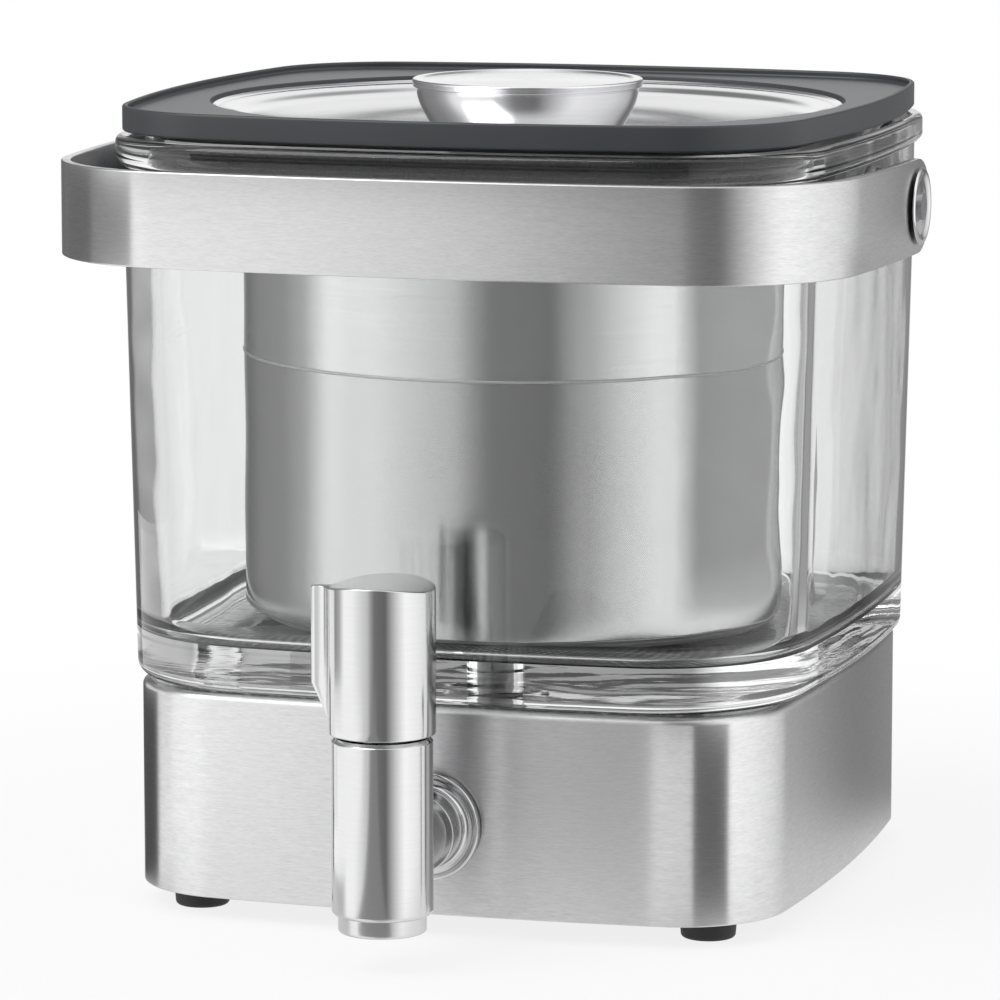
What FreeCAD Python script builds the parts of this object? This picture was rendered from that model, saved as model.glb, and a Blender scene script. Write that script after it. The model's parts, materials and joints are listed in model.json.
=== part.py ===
import FreeCAD, Part
import Sketcher
import math
import os
from types import SimpleNamespace

# A cold brew coffee maker: a square glass jar on a steel base with a tap, a round steeper
# in the jar, a flat lid with a knob, and a band handle that swings up over the lid.
# The origin lies on the table, under the centre of the whole object's footprint box.
# Front is -Y (the tap), up is +Z. All lengths are in millimetres.

V = FreeCAD.Vector
doc = FreeCAD.newDocument("cold_brew_maker")

DRIVING = {
    # base
    "foot_height": 6.4,
    "foot_radius": 8.5,
    "foot_inset": 23.2,
    "foot_edge": 1.2,
    "foot_recess": 4.2,
    "foot_web": 3.3,
    "foot_screw": 1.75,
    "foot_screw_head": 2.4,
    "base_height": 60.8,
    "base_inset": 3.5,
    "base_bow": 826,
    "base_corner": 32.5,
    "sheet_gauge": 1.2,
    "floor_plate": 2.5,
    "floor_recess": 1.0,
    "frame_plate": 3.0,
    "post_radius": 6.0,
    "post_screw": 12.0,
    "inner_fit": 0.2,
    "pad_thickness": 0.8,
    "pad_inset": 3.0,
    # jar
    "jar_half": 107.1,
    "jar_draft": 2.9,
    "jar_bow": 743,
    "jar_corner": 45.5,
    "jar_height": 160,
    "jar_wall": 6.5,
    "jar_floor": 12.6,
    "neck_height": 19.5,
    "bead_stand": 2.5,
    "bead_height": 8.5,
    "bead_round": 2.4,
    "jar_foot_round": 4.0,
    # drain through the jar floor
    "well_margin": 1.5,
    "well_depth": 4.2,
    "drain_bore": 5.0,
    "drain_wall": 3.0,
    "drain_head": 5.5,
    "drain_head_height": 2.6,
    "drain_tail": 6.0,
    "washer_thickness": 1.0,
    "nut_height": 7.0,
    "nut_wall": 4.0,
    "pipe_wall": 3.5,
    "bend_margin": 1.5,
    "socket_wall": 2.5,
    # tap
    "tap_standoff": 43.6,
    "arm_drop": 34.2,
    "arm_wall": 6.5,
    "flange_stand": 5.5,
    "flange_length": 13,
    "flange_edge": 1.6,
    "flange_lip": 1.2,
    "gasket_width": 6.0,
    "shank_wall": 3.0,
    "shank_reach": 14,
    "shank_nut": 6.0,
    "socket_depth": 5.8,
    "channel_radius": 4.0,
    "tap_wall": 7.4,
    "tap_drop": 16.8,
    "tap_rise": 34,
    "nozzle_step": 1.8,
    "nozzle_height": 5.1,
    "nozzle_edge": 1.0,
    "spigot_step": 2.0,
    "spigot_height": 5.8,
    "spout_radius": 5.0,
    "valve_wall": 3.0,
    "shoulder_height": 2.5,
    "oring_wire": 0.98,
    "oring_drop": 10,
    "drive_half": 3.6,
    "drive_height": 30,
    "grip_stand": 0.8,
    "grip_gap": 0.9,
    "grip_height": 43.1,
    "grip_wall": 2.2,
    "grip_top": 4.0,
    "hub_radius": 8.0,
    "fin_reach": 5.6,
    "fin_half": 1.6,
    "fin_lift": 4.5,
    "fin_slope": 9.0,
    "set_screw": 2.0,
    "set_screw_lift": 17,
    # handle and its pivots
    "band_height": 27.8,
    "band_thickness": 2.8,
    "band_side_gap": 13.4,
    "band_front_gap": 9.2,
    "band_bow": 747,
    "band_corner": 46.4,
    "pivot_forward": 13.2,
    "pivot_drop": 12.3,
    "strap_height": 9.0,
    "strap_thickness": 1.2,
    "strap_fit": 0.1,
    "ear_reach": 7.0,
    "ear_thickness": 3.0,
    "ear_gap": 3.0,
    "ear_screw": 1.5,
    "ear_screw_head": 2.8,
    "ear_head_height": 2.5,
    "ear_screw_tail": 3.4,
    "plate_margin": 0.5,
    "plate_stand": 2.6,
    "plate_sink": 0.4,
    "stud_radius": 4.0,
    "stud_seat": 2.0,
    "lug_radius": 1.4,
    "lug_circle": 8.0,
    "lug_length": 1.7,
    "slot_play": 0.3,
    "slot_depth": 2.0,
    "spacer_radius": 11,
    "spot_depth": 0.5,
    "cap_thickness": 2.2,
    "cap_edge": 0.8,
    "cap_rim": 1.6,
    "cap_dish": 0.8,
    # lid
    "lid_gap": 1.3,
    "lid_height": 7.5,
    "lid_inset": 1.2,
    "lid_bow": 432,
    "lid_corner": 40,
    "lip_width": 1.6,
    "lip_rise": 2.2,
    "lid_border": 13.4,
    "lid_ledge": 1.2,
    "dish_flange": 3.0,
    "dish_gauge": 1.0,
    "dish_depth": 6.4,
    "dish_slope": 48,
    "plug_depth": 14,
    "plug_gap": 2.2,
    "plug_wall": 2.5,
    "plug_floor": 2.0,
    "seal_height": 6.0,
    "seal_drop": 3.0,
    "knob_radius": 34.6,
    "knob_foot": 29,
    "knob_height": 14.0,
    "knob_edge": 2.4,
    "knob_step": 1.2,
    "knob_hollow": 0.6,
    "knob_screw": 2.0,
    "knob_screw_head": 4.2,
    "knob_head_height": 2.9,
    "knob_screw_grip": 8.0,
    "knob_washer": 8.0,
    # steeper
    "steeper_gap": 13.1,
    "steeper_skin": 0.9,
    "mesh_step": 0.3,
    "mesh_skin": 0.7,
    "ring_height": 3.5,
    "ring_width": 2.6,
    "floor_mesh": 0.8,
    "seam_height": 79,
    "steeper_headroom": 2.5,
    "rim_width": 3.4,
    "rim_height": 3.5,
    "rim_edge": 1.0,
    "bail_wire": 2.0,
    "bail_bend": 4.0,
    "bail_drop": 5.5,
    "bail_side": 11.7,
    "eye_depth": 5.2,
    "eye_half": 5.0,
    "eye_rise": 4.0,
    # clearances between pieces that move on each other
    "air": 0.3,
    "running_fit": 0.08,
    "valve_fit": 0.05,
    "oring_fit": 0.02,
}

sheet = doc.addObject("Spreadsheet::Sheet", "sizes")
for row, (alias, number) in enumerate(DRIVING.items(), start=1):
    sheet.set(f"A{row}", alias)
    sheet.set(f"B{row}", str(number))
    sheet.setAlias(f"B{row}", alias)
doc.recompute()


class Size:
    """A length: the sheet expression that gives it, and the value it has now."""

    def __init__(self, text, value):
        self.text = text
        self.value = value

    def __add__(self, other):
        return joined(self, "+", other)

    def __radd__(self, other):
        return joined(other, "+", self)

    def __sub__(self, other):
        return joined(self, "-", other)

    def __rsub__(self, other):
        return joined(other, "-", self)

    def __mul__(self, other):
        return joined(self, "*", other)

    def __rmul__(self, other):
        return joined(other, "*", self)

    def __truediv__(self, other):
        return joined(self, "/", other)

    def __neg__(self):
        return joined(-1, "*", self)


def number_of(length):
    return length.value if isinstance(length, Size) else float(length)


def text_of(length):
    return length.text if isinstance(length, Size) else str(length)


def joined(left, sign, right):
    a = number_of(left)
    b = number_of(right)
    value = {"+": a + b, "-": a - b, "*": a * b, "/": a / b if b else 0.0}[sign]
    return Size(f"({text_of(left)} {sign} {text_of(right)})", value)


# Every cell of the sheet as a Size, by its alias.
dim = SimpleNamespace(**{
    alias: Size(f"sizes.{alias}", float(sheet.get(alias))) for alias in DRIVING
})


def bind(thing, name, length):
    """Ties one property to the sheet."""
    thing.setExpression(name, text_of(length))


def place(thing, x=0, y=0, z=0, turn=None):
    """Turns a piece, then ties the place of its origin to the sheet."""
    thing.Placement = FreeCAD.Placement(V(0, 0, 0), turn or FreeCAD.Rotation())
    for letter, length in zip("xyz", (x, y, z)):
        bind(thing, f"Placement.Base.{letter}", length)


ALONG_FRONT = FreeCAD.Rotation(V(1, 0, 0), 90)


def along_side(side):
    """Local Z points out of the +X side (1) or of the -X side (-1)."""
    return FreeCAD.Rotation(V(0, 1, 0), 90 * side)


# ---- sketches -------------------------------------------------------------------------


def new_body(label):
    body = doc.addObject("PartDesign::Body", label)
    body.Label = label
    return body


def sketch_on(body, role, height=0):
    """A sketch on one of the body's origin planes, lifted along the plane's normal."""
    plane = next(f for f in body.Origin.OriginFeatures if f.Role == role)
    sketch = body.newObject("Sketcher::SketchObject", f"{body.Label}_sketch")
    sketch.AttachmentSupport = [(plane, "")]
    sketch.MapMode = "FlatFace"
    bind(sketch, "AttachmentOffset.Base.z", height)
    return sketch


def hold(sketch, kind, places, length):
    """Adds a constraint with a size, and ties the size to the sheet."""
    index = sketch.addConstraint(Sketcher.Constraint(kind, *places, number_of(length)))
    if isinstance(length, Size):
        bind(sketch, f"Constraints[{index}]", length)


def hold_point(sketch, curve, end, x, y):
    """Fixes one point of a curve by its distances from the sketch's origin."""
    for kind, axis, length in (("DistanceX", -2, x), ("DistanceY", -1, y)):
        if isinstance(length, Size):
            hold(sketch, kind, (-1, 1, curve, end), length)
        else:
            sketch.addConstraint(Sketcher.Constraint("PointOnObject", curve, end, axis))


def circle(sketch, radius, x=0, y=0):
    centre = V(number_of(x), number_of(y), 0)
    curve = sketch.addGeometry(Part.Circle(centre, V(0, 0, 1), number_of(radius)), False)
    hold(sketch, "Radius", (curve,), radius)
    hold_point(sketch, curve, 3, x, y)


def polygon(sketch, corners):
    """A closed outline of straight lines, each corner fixed by its own two sizes."""
    count = len(corners)
    points = [V(number_of(x), number_of(y), 0) for x, y in corners]
    lines = []
    for index in range(count):
        line = Part.LineSegment(points[index], points[(index + 1) % count])
        lines.append(sketch.addGeometry(line, False))
    for index, (x, y) in enumerate(corners):
        before = lines[index - 1]
        sketch.addConstraint(Sketcher.Constraint("Coincident", before, 2, lines[index], 1))
        hold_point(sketch, lines[index], 1, x, y)


def arc(sketch, centre, radius, start, end):
    """An arc drawn from one angle to another, counter-clockwise, in radians."""
    whole = Part.Circle(V(centre[0], centre[1], 0), V(0, 0, 1), radius)
    return sketch.addGeometry(Part.ArcOfCircle(whole, start, end), False)


def chain(sketch, curves):
    """Joins curves end to start, each flowing into the next."""
    for index, curve in enumerate(curves):
        before = curves[index - 1]
        sketch.addConstraint(Sketcher.Constraint("Tangent", before, 2, curve, 1))


def bowed_outline(sketch, half_x, half_y, bow, corner):
    """A rounded rectangle whose four sides bow out a little: eight tangent arcs."""
    back_x = bow - half_x
    back_y = bow - half_y
    far_x = number_of(back_x)
    far_y = number_of(back_y)
    reach = number_of(bow) - number_of(corner)
    span = math.hypot(far_x, far_y)
    rise = math.sqrt(reach**2 - (span / 2) ** 2)
    corner_x = -far_x / 2 + far_y / span * rise
    corner_y = -far_y / 2 + far_x / span * rise
    low = math.atan2(corner_y, corner_x + far_x)
    high = math.atan2(corner_y + far_y, corner_x)
    big = number_of(bow)
    small = number_of(corner)
    turn = math.pi
    sides = [
        arc(sketch, (-far_x, 0), big, -low, low),
        arc(sketch, (0, -far_y), big, high, turn - high),
        arc(sketch, (far_x, 0), big, turn - low, turn + low),
        arc(sketch, (0, far_y), big, turn + high, 2 * turn - high),
    ]
    corners = [
        arc(sketch, (corner_x, corner_y), small, low, high),
        arc(sketch, (-corner_x, corner_y), small, turn - high, turn - low),
        arc(sketch, (-corner_x, -corner_y), small, turn + low, turn + high),
        arc(sketch, (corner_x, -corner_y), small, 2 * turn - high, 2 * turn - low),
    ]
    chain(sketch, [curve for pair in zip(sides, corners) for curve in pair])
    centres = [(-back_x, 0), (0, -back_y), (back_x, 0), (0, back_y)]
    for side, (x, y) in zip(sides, centres):
        hold_point(sketch, side, 3, x, y)
        hold(sketch, "Radius", (side,), bow)
    for curve in corners:
        hold(sketch, "Radius", (curve,), corner)


# ---- solid features -------------------------------------------------------------------

# A cut that goes right through is this many times as long as what it goes through.
OVERCUT = 1.5


def add_feature(body, kind, sketch):
    feature = body.newObject(f"PartDesign::{kind}", f"{body.Label}_{kind.lower()}")
    feature.Profile = sketch
    sketch.Visibility = False
    body.Tip = feature
    return feature


def pad(body, sketch, length, backwards=False):
    feature = add_feature(body, "Pad", sketch)
    bind(feature, "Length", length)
    feature.Reversed = backwards
    doc.recompute()
    return feature


def pocket(body, sketch, length, backwards=False):
    """Cuts against the sketch's normal, or along it when backwards, and must remove metal."""
    before = body.Shape.Volume
    feature = add_feature(body, "Pocket", sketch)
    bind(feature, "Length", length)
    feature.Reversed = backwards
    doc.recompute()
    if body.Shape.Volume >= before:
        raise ValueError(f"{body.Label}: a pocket cuts nothing")
    return feature


def flare(feature, spread, rise):
    """Makes a pad or pocket widen along its way by one length in another."""
    bind(feature, "TaperAngle", Size(f"atan({text_of(spread / rise)})", 0))
    doc.recompute()


def revolve(body, sketch, kind="Revolution"):
    feature = add_feature(body, kind, sketch)
    feature.ReferenceAxis = (sketch, ["V_Axis"])
    feature.Angle = 360
    doc.recompute()
    return feature


def turned(label, profile):
    """A lathe-turned piece: its half section, as (radius, height) corners, about local Z."""
    body = new_body(label)
    sketch = sketch_on(body, "XZ_Plane")
    polygon(sketch, profile)
    revolve(body, sketch)
    return body


def ring_section(inside, outside, low, high):
    return [(inside, low), (outside, low), (outside, high), (inside, high)]


def round_edges(body, radius, wanted):
    """Fillets the tip's edges that the test picks."""
    base = body.Tip
    names = [f"Edge{i}" for i, edge in enumerate(base.Shape.Edges, 1) if wanted(edge)]
    fillet = body.newObject("PartDesign::Fillet", f"{body.Label}_fillet")
    fillet.Base = (base, names)
    bind(fillet, "Radius", radius)
    body.Tip = fillet
    doc.recompute()


def lies_on(edge, outline, level):
    """True for an edge that is one arc of a bowed outline at a level."""
    near = 0.01
    ends = [vertex.Point.z for vertex in edge.Vertexes]
    if not isinstance(edge.Curve, Part.Circle):
        return False
    if max(abs(z - number_of(level)) for z in ends) > near:
        return False
    return min(abs(edge.Curve.Radius - number_of(radius)) for radius in outline[2:]) < near


def slab(body, outline, low, thickness):
    """Pads one bowed outline, given as its four sizes, from a level upwards."""
    sketch = sketch_on(body, "XY_Plane", low)
    bowed_outline(sketch, *outline)
    return pad(body, sketch, thickness)


def hollow(body, outline, top, depth):
    """Cuts one bowed outline from a level downwards."""
    sketch = sketch_on(body, "XY_Plane", top)
    bowed_outline(sketch, *outline)
    return pocket(body, sketch, depth)


def bore(body, role, radius, start, length, x=0, y=0, backwards=False):
    """Cuts a round hole square to one of the body's planes."""
    sketch = sketch_on(body, role, start)
    circle(sketch, radius, x, y)
    return pocket(body, sketch, length, backwards)


def grown(outline, extra):
    """The same outline, pushed out square to itself."""
    return [length + extra for length in outline]


# ---- levels, outlines and places that several pieces share ----------------------------

base_top = dim.foot_height + dim.base_height
jar_bottom = base_top + dim.pad_thickness
jar_top = jar_bottom + dim.jar_height
bead_bottom = jar_top - dim.bead_height
neck_bottom = bead_bottom - dim.neck_height
floor_top = jar_bottom + dim.jar_floor
floor_plate_bottom = dim.foot_height + dim.floor_recess
foot_head_level = floor_plate_bottom - dim.foot_web
floor_plate_top = floor_plate_bottom + dim.floor_plate
frame_top = base_top - dim.sheet_gauge
frame_bottom = frame_top - dim.frame_plate
arm_level = base_top - dim.arm_drop
pivot_level = bead_bottom - dim.pivot_drop
lid_bottom = jar_top + dim.lid_gap
lid_top = lid_bottom + dim.lid_height
panel_top = lid_top - dim.lip_rise
plug_bottom = jar_top - dim.plug_depth

drain_shank = dim.drain_bore + dim.drain_wall
drain_hole = drain_shank + dim.air
drain_head = drain_shank + dim.drain_head
well_radius = drain_head + dim.well_margin
well_floor = floor_top - dim.well_depth
drain_head_bottom = well_floor + dim.washer_thickness
drain_nut_bottom = frame_bottom - dim.nut_height
drain_end = drain_nut_bottom - dim.drain_tail
pipe_radius = dim.drain_bore + dim.pipe_wall
pipe_bend = pipe_radius + dim.bend_margin

shank_radius = dim.channel_radius + dim.shank_wall
arm_radius = dim.channel_radius + dim.arm_wall
valve_radius = dim.channel_radius + dim.valve_wall
tap_radius = valve_radius + dim.tap_wall
grip_radius = tap_radius + dim.grip_stand
nozzle_radius = tap_radius - dim.nozzle_step
spigot_radius = valve_radius + dim.spigot_step
oring_outside = valve_radius + dim.valve_fit - dim.oring_fit

foot_half = dim.jar_half - dim.jar_draft
base_half = foot_half - dim.base_inset
bead_half = dim.jar_half + dim.bead_stand
lid_half = bead_half - dim.lid_inset
band_half_x = dim.jar_half + dim.band_side_gap + dim.band_thickness
band_half_y = dim.jar_half + dim.band_front_gap + dim.band_thickness
strap_half = dim.jar_half + dim.strap_fit + dim.strap_thickness
opening_radius = lid_half - dim.lid_border
steeper_radius = foot_half - dim.jar_wall - dim.steeper_gap

BASE_OUTLINE = [base_half, base_half, dim.base_bow, dim.base_corner]
JAR_FOOT_OUTLINE = [foot_half, foot_half, dim.jar_bow, dim.jar_corner]
JAR_OUTLINE = grown(JAR_FOOT_OUTLINE, dim.jar_draft)
BEAD_OUTLINE = grown(JAR_OUTLINE, dim.bead_stand)
MOUTH_OUTLINE = grown(JAR_OUTLINE, -dim.jar_wall)
LID_OUTLINE = [lid_half, lid_half, dim.lid_bow, dim.lid_corner]
BAND_OUTLINE = [band_half_x, band_half_y, dim.band_bow, dim.band_corner]

# The tap's front and the strap's rear ears bound the footprint, and the box's middle is y = 0.
tap_reach = base_half + dim.tap_standoff
ear_end = strap_half + dim.ear_reach
middle_y = (tap_reach + grip_radius - ear_end) / 2
tap_y = middle_y - tap_reach
pivot_y = middle_y - dim.pivot_forward


def on_axis(thing, z=0):
    """Places a piece on the jar's upright axis."""
    place(thing, 0, middle_y, z)
    return thing


def foot_places():
    """The four corners of the base where a foot, a post and a screw share an axis."""
    spread = base_half - dim.foot_inset
    for end, along in (("front", -1), ("rear", 1)):
        for side, across in (("left", -1), ("right", 1)):
            yield f"{end}_{side}", across * spread, along * spread


# ---- base -----------------------------------------------------------------------------


def make_base_shell():
    """A deep-drawn steel pan, upside down, with a hole for the drain and one for the tap."""
    body = new_body("base_shell")
    slab(body, BASE_OUTLINE, dim.foot_height, dim.base_height)
    inside = grown(BASE_OUTLINE, -dim.sheet_gauge)
    hollow(body, inside, frame_top, dim.base_height)
    bore(body, "XY_Plane", drain_hole, base_top, dim.sheet_gauge * OVERCUT)
    clear = shank_radius + dim.air
    bore(body, "XZ_Plane", clear, base_half / 2, base_half, 0, arm_level, True)
    return on_axis(body)


def make_base_frame():
    """The plastic frame under the pan's top, with four posts that take the foot screws."""
    body = new_body("base_frame")
    inside = grown(BASE_OUTLINE, -(dim.sheet_gauge + dim.inner_fit))
    slab(body, inside, frame_bottom, dim.frame_plate)
    posts = sketch_on(body, "XY_Plane", frame_bottom)
    pilots = sketch_on(body, "XY_Plane", floor_plate_top)
    for _, x, y in foot_places():
        circle(posts, dim.post_radius, x, y)
        circle(pilots, dim.foot_screw, x, y)
    pad(body, posts, frame_bottom - floor_plate_top, True)
    pocket(body, pilots, dim.post_screw, True)
    bore(body, "XY_Plane", drain_hole, frame_top, dim.frame_plate * OVERCUT)
    return on_axis(body)


def make_base_floor():
    """The plastic plate that closes the base from below."""
    body = new_body("base_floor")
    inside = grown(BASE_OUTLINE, -(dim.sheet_gauge + dim.inner_fit))
    slab(body, inside, floor_plate_bottom, dim.floor_plate)
    holes = sketch_on(body, "XY_Plane", floor_plate_top)
    for _, x, y in foot_places():
        circle(holes, dim.foot_screw, x, y)
    pocket(body, holes, dim.floor_plate * OVERCUT)
    return on_axis(body)


def make_foot(name, x, y):
    """A rubber foot with a recess for its screw's head."""
    body = turned(f"foot_{name}", [
        (dim.foot_recess, 0),
        (dim.foot_radius - dim.foot_edge, 0),
        (dim.foot_radius, dim.foot_edge),
        (dim.foot_radius, floor_plate_bottom),
        (dim.foot_screw, floor_plate_bottom),
        (dim.foot_screw, foot_head_level),
        (dim.foot_recess, foot_head_level),
    ])
    place(body, x, middle_y + y, 0)
    return body


def make_foot_screws():
    """Four equal screws, each up through a foot and the floor plate into a post."""
    screws = []
    for name, x, y in foot_places():
        head = doc.addObject("Part::Cylinder", f"screw_head_{name}")
        bind(head, "Radius", dim.foot_recess - dim.air)
        bind(head, "Height", dim.foot_screw_head)
        place(head, x, middle_y + y, foot_head_level - dim.foot_screw_head)
        stem = doc.addObject("Part::Cylinder", f"screw_stem_{name}")
        bind(stem, "Radius", dim.foot_screw)
        bind(stem, "Height", floor_plate_top + dim.post_screw - foot_head_level)
        place(stem, x, middle_y + y, foot_head_level)
        screw = doc.addObject("Part::MultiFuse", f"screw_{name}")
        screw.Shapes = [head, stem]
        screws.append(screw)
    group = doc.addObject("Part::Compound", "foot_screws")
    group.Label = "foot_screws"
    group.Links = screws
    doc.recompute()
    return group


def make_seat_pad():
    """The silicone mat that the glass stands on."""
    body = new_body("seat_pad")
    slab(body, grown(BASE_OUTLINE, -dim.pad_inset), base_top, dim.pad_thickness)
    bore(body, "XY_Plane", drain_hole, jar_bottom, dim.pad_thickness * OVERCUT)
    return on_axis(body)


# ---- jar and drain --------------------------------------------------------------------


def make_glass_jar():
    """A pressed glass jar: it widens upwards, has a straight neck and a round bead."""
    body = new_body("glass_jar")
    wall_rise = neck_bottom - jar_bottom
    flare(slab(body, JAR_FOOT_OUTLINE, jar_bottom, wall_rise), dim.jar_draft, wall_rise)
    slab(body, JAR_OUTLINE, neck_bottom, dim.neck_height)
    slab(body, BEAD_OUTLINE, bead_bottom, dim.bead_height)
    for level in (jar_top, bead_bottom):
        round_edges(body, dim.bead_round, lambda edge: lies_on(edge, BEAD_OUTLINE, level))
    round_edges(body, dim.jar_foot_round, lambda edge: lies_on(edge, JAR_FOOT_OUTLINE, jar_bottom))
    hollow(body, MOUTH_OUTLINE, jar_top, dim.neck_height + dim.bead_height)
    room_rise = neck_bottom - floor_top
    room = hollow(body, MOUTH_OUTLINE, neck_bottom, room_rise)
    flare(room, -(dim.jar_draft * room_rise / wall_rise), room_rise)
    bore(body, "XY_Plane", well_radius, floor_top, dim.well_depth)
    bore(body, "XY_Plane", drain_hole, floor_top, dim.jar_floor * OVERCUT)
    return on_axis(body)


def make_drain_washer():
    section = ring_section(drain_shank, drain_head, well_floor, drain_head_bottom)
    return on_axis(turned("drain_washer", section))


def make_drain_bolt():
    """A hollow bolt: it drains the jar and clamps glass, mat, pan and frame together."""
    head_top = drain_head_bottom + dim.drain_head_height
    return on_axis(turned("drain_bolt", [
        (dim.drain_bore, drain_end),
        (drain_shank, drain_end),
        (drain_shank, drain_head_bottom),
        (drain_head, drain_head_bottom),
        (drain_head, head_top),
        (dim.drain_bore, head_top),
    ]))


def hexagon(sketch, flats):
    """A hexagon about the sketch's origin, given its half width across the flats."""
    half_side = flats / math.sqrt(3)
    polygon(sketch, [
        (2 * half_side, 0),
        (half_side, flats),
        (-half_side, flats),
        (-2 * half_side, 0),
        (-half_side, -flats),
        (half_side, -flats),
    ])


def hex_nut(label, hole, wall, height):
    body = new_body(label)
    sketch = sketch_on(body, "XY_Plane")
    hexagon(sketch, hole + wall)
    circle(sketch, hole)
    pad(body, sketch, height)
    return body


def make_drain_nut():
    body = hex_nut("drain_nut", drain_shank, dim.nut_wall, dim.nut_height)
    return on_axis(body, drain_nut_bottom)


def elbow_solid(name, radius, top, reach):
    """A round bar that comes down the axis, bends to the front and runs to the tap."""
    bend_top = arm_level + pipe_bend
    upright = doc.addObject("Part::Cylinder", f"{name}_upright")
    bind(upright, "Radius", radius)
    bind(upright, "Height", top - bend_top)
    place(upright, 0, 0, bend_top)
    bend = doc.addObject("Part::Torus", f"{name}_bend")
    bind(bend, "Radius1", pipe_bend)
    bind(bend, "Radius2", radius)
    bend.Angle3 = 90
    quarter = FreeCAD.Rotation(V(0, 1, 0), V(0, 0, -1), V(-1, 0, 0), "XYZ")
    place(bend, 0, -pipe_bend, bend_top, quarter)
    level = doc.addObject("Part::Cylinder", f"{name}_level")
    bind(level, "Radius", radius)
    bind(level, "Height", reach - pipe_bend)
    place(level, 0, -pipe_bend, arm_level, ALONG_FRONT)
    return [upright, bend, level]


def make_drain_elbow():
    """The plastic pipe in the base, with a socket on the drain bolt and one on the tap."""
    socket_top = drain_nut_bottom - dim.air
    shank_end = base_half - dim.shank_reach
    socket_front = shank_end + dim.socket_depth
    outer = elbow_solid("elbow_outer", pipe_radius, drain_end, shank_end)
    upper = doc.addObject("Part::Cylinder", "elbow_upper_socket")
    bind(upper, "Radius", drain_shank + dim.socket_wall)
    bind(upper, "Height", socket_top - drain_end + dim.sheet_gauge)
    place(upper, 0, 0, drain_end - dim.sheet_gauge)
    front = doc.addObject("Part::Cylinder", "elbow_front_socket")
    bind(front, "Radius", shank_radius + dim.socket_wall)
    bind(front, "Height", dim.socket_depth + dim.sheet_gauge)
    place(front, 0, -(shank_end - dim.sheet_gauge), arm_level, ALONG_FRONT)
    skin = doc.addObject("Part::MultiFuse", "elbow_skin")
    skin.Shapes = outer + [upper, front]
    inner = elbow_solid("elbow_inner", dim.drain_bore, socket_top, socket_front)
    upper_seat = doc.addObject("Part::Cylinder", "elbow_upper_seat")
    bind(upper_seat, "Radius", drain_shank)
    bind(upper_seat, "Height", socket_top - drain_end)
    place(upper_seat, 0, 0, drain_end)
    front_seat = doc.addObject("Part::Cylinder", "elbow_front_seat")
    bind(front_seat, "Radius", shank_radius)
    bind(front_seat, "Height", dim.socket_depth)
    place(front_seat, 0, -shank_end, arm_level, ALONG_FRONT)
    core = doc.addObject("Part::MultiFuse", "elbow_core")
    core.Shapes = inner + [upper_seat, front_seat]
    elbow = doc.addObject("Part::Cut", "drain_elbow")
    elbow.Label = "drain_elbow"
    elbow.Base = skin
    elbow.Tool = core
    doc.recompute()
    return on_axis(elbow)


# ---- tap ------------------------------------------------------------------------------

tap_bottom = arm_level - dim.tap_drop
tap_top = arm_level + dim.tap_rise
nozzle_bottom = tap_bottom - dim.nozzle_height
spigot_top = tap_bottom + dim.spigot_height
valve_bottom = spigot_top + dim.air
shoulder_top = valve_bottom + dim.shoulder_height
grip_bottom = tap_top + dim.grip_gap
grip_end = grip_bottom + dim.grip_height


def on_tap(thing):
    """Places a piece on the tap's upright axis."""
    place(thing, 0, tap_y, 0)
    return thing


def in_front_of_base(thing, distance=0):
    """Places a piece on the tap's level axis, local Z forward, from the base's front face."""
    place(thing, 0, middle_y - base_half - distance, arm_level, ALONG_FRONT)
    return thing


def make_tap_gasket():
    section = ring_section(shank_radius, shank_radius + dim.gasket_width, 0, dim.pad_thickness)
    return in_front_of_base(turned("tap_gasket", section))


def make_tap_flange():
    """The trumpet-shaped collar between the base and the tap's arm."""
    start = dim.pad_thickness
    end = start + dim.flange_length
    steps = 8
    curl = 2.4
    mouth = arm_radius + dim.flange_stand
    drop = dim.flange_stand - dim.flange_lip
    profile = [(arm_radius, start), (mouth, start), (mouth, start + dim.flange_edge)]
    for step in range(1, steps + 1):
        share = step / steps
        narrowing = 1 - (1 - share) ** curl
        level = start + dim.flange_edge + (dim.flange_length - dim.flange_edge) * share
        profile.append((mouth - drop * narrowing, level))
    profile.append((arm_radius, end))
    return in_front_of_base(turned("tap_flange", profile))


def make_tap_body():
    """The upright barrel with its level arm and the threaded shank through the base."""
    body = new_body("tap_body")
    barrel = sketch_on(body, "XY_Plane", tap_bottom)
    circle(barrel, tap_radius)
    pad(body, barrel, dim.tap_drop + dim.tap_rise)
    arm = sketch_on(body, "XZ_Plane")
    circle(arm, arm_radius, 0, arm_level)
    pad(body, arm, dim.tap_standoff - dim.pad_thickness, True)
    shank = sketch_on(body, "XZ_Plane")
    circle(shank, shank_radius, 0, arm_level)
    channel_end = dim.tap_standoff + dim.shank_reach
    pad(body, shank, channel_end, True)
    bore(body, "XZ_Plane", dim.channel_radius, 0, channel_end, 0, arm_level)
    shelf = shoulder_top + dim.air
    bore(body, "XY_Plane", valve_radius + dim.valve_fit, tap_top, tap_top - shelf)
    bore(body, "XY_Plane", spigot_radius, tap_bottom, shelf - tap_bottom, 0, 0, True)
    return on_tap(body)


def make_tap_nut():
    body = hex_nut("tap_nut", shank_radius, dim.nut_wall, dim.shank_nut)
    return in_front_of_base(body, -(dim.sheet_gauge + dim.inner_fit + dim.shank_nut))


def make_tap_nozzle():
    section = [
        (dim.spout_radius, nozzle_bottom),
        (nozzle_radius - dim.nozzle_edge, nozzle_bottom),
        (nozzle_radius, nozzle_bottom + dim.nozzle_edge),
        (nozzle_radius, tap_bottom),
        (spigot_radius, tap_bottom),
        (spigot_radius, spigot_top),
        (dim.spout_radius, spigot_top),
    ]
    return on_tap(turned("tap_nozzle", section))


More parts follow.
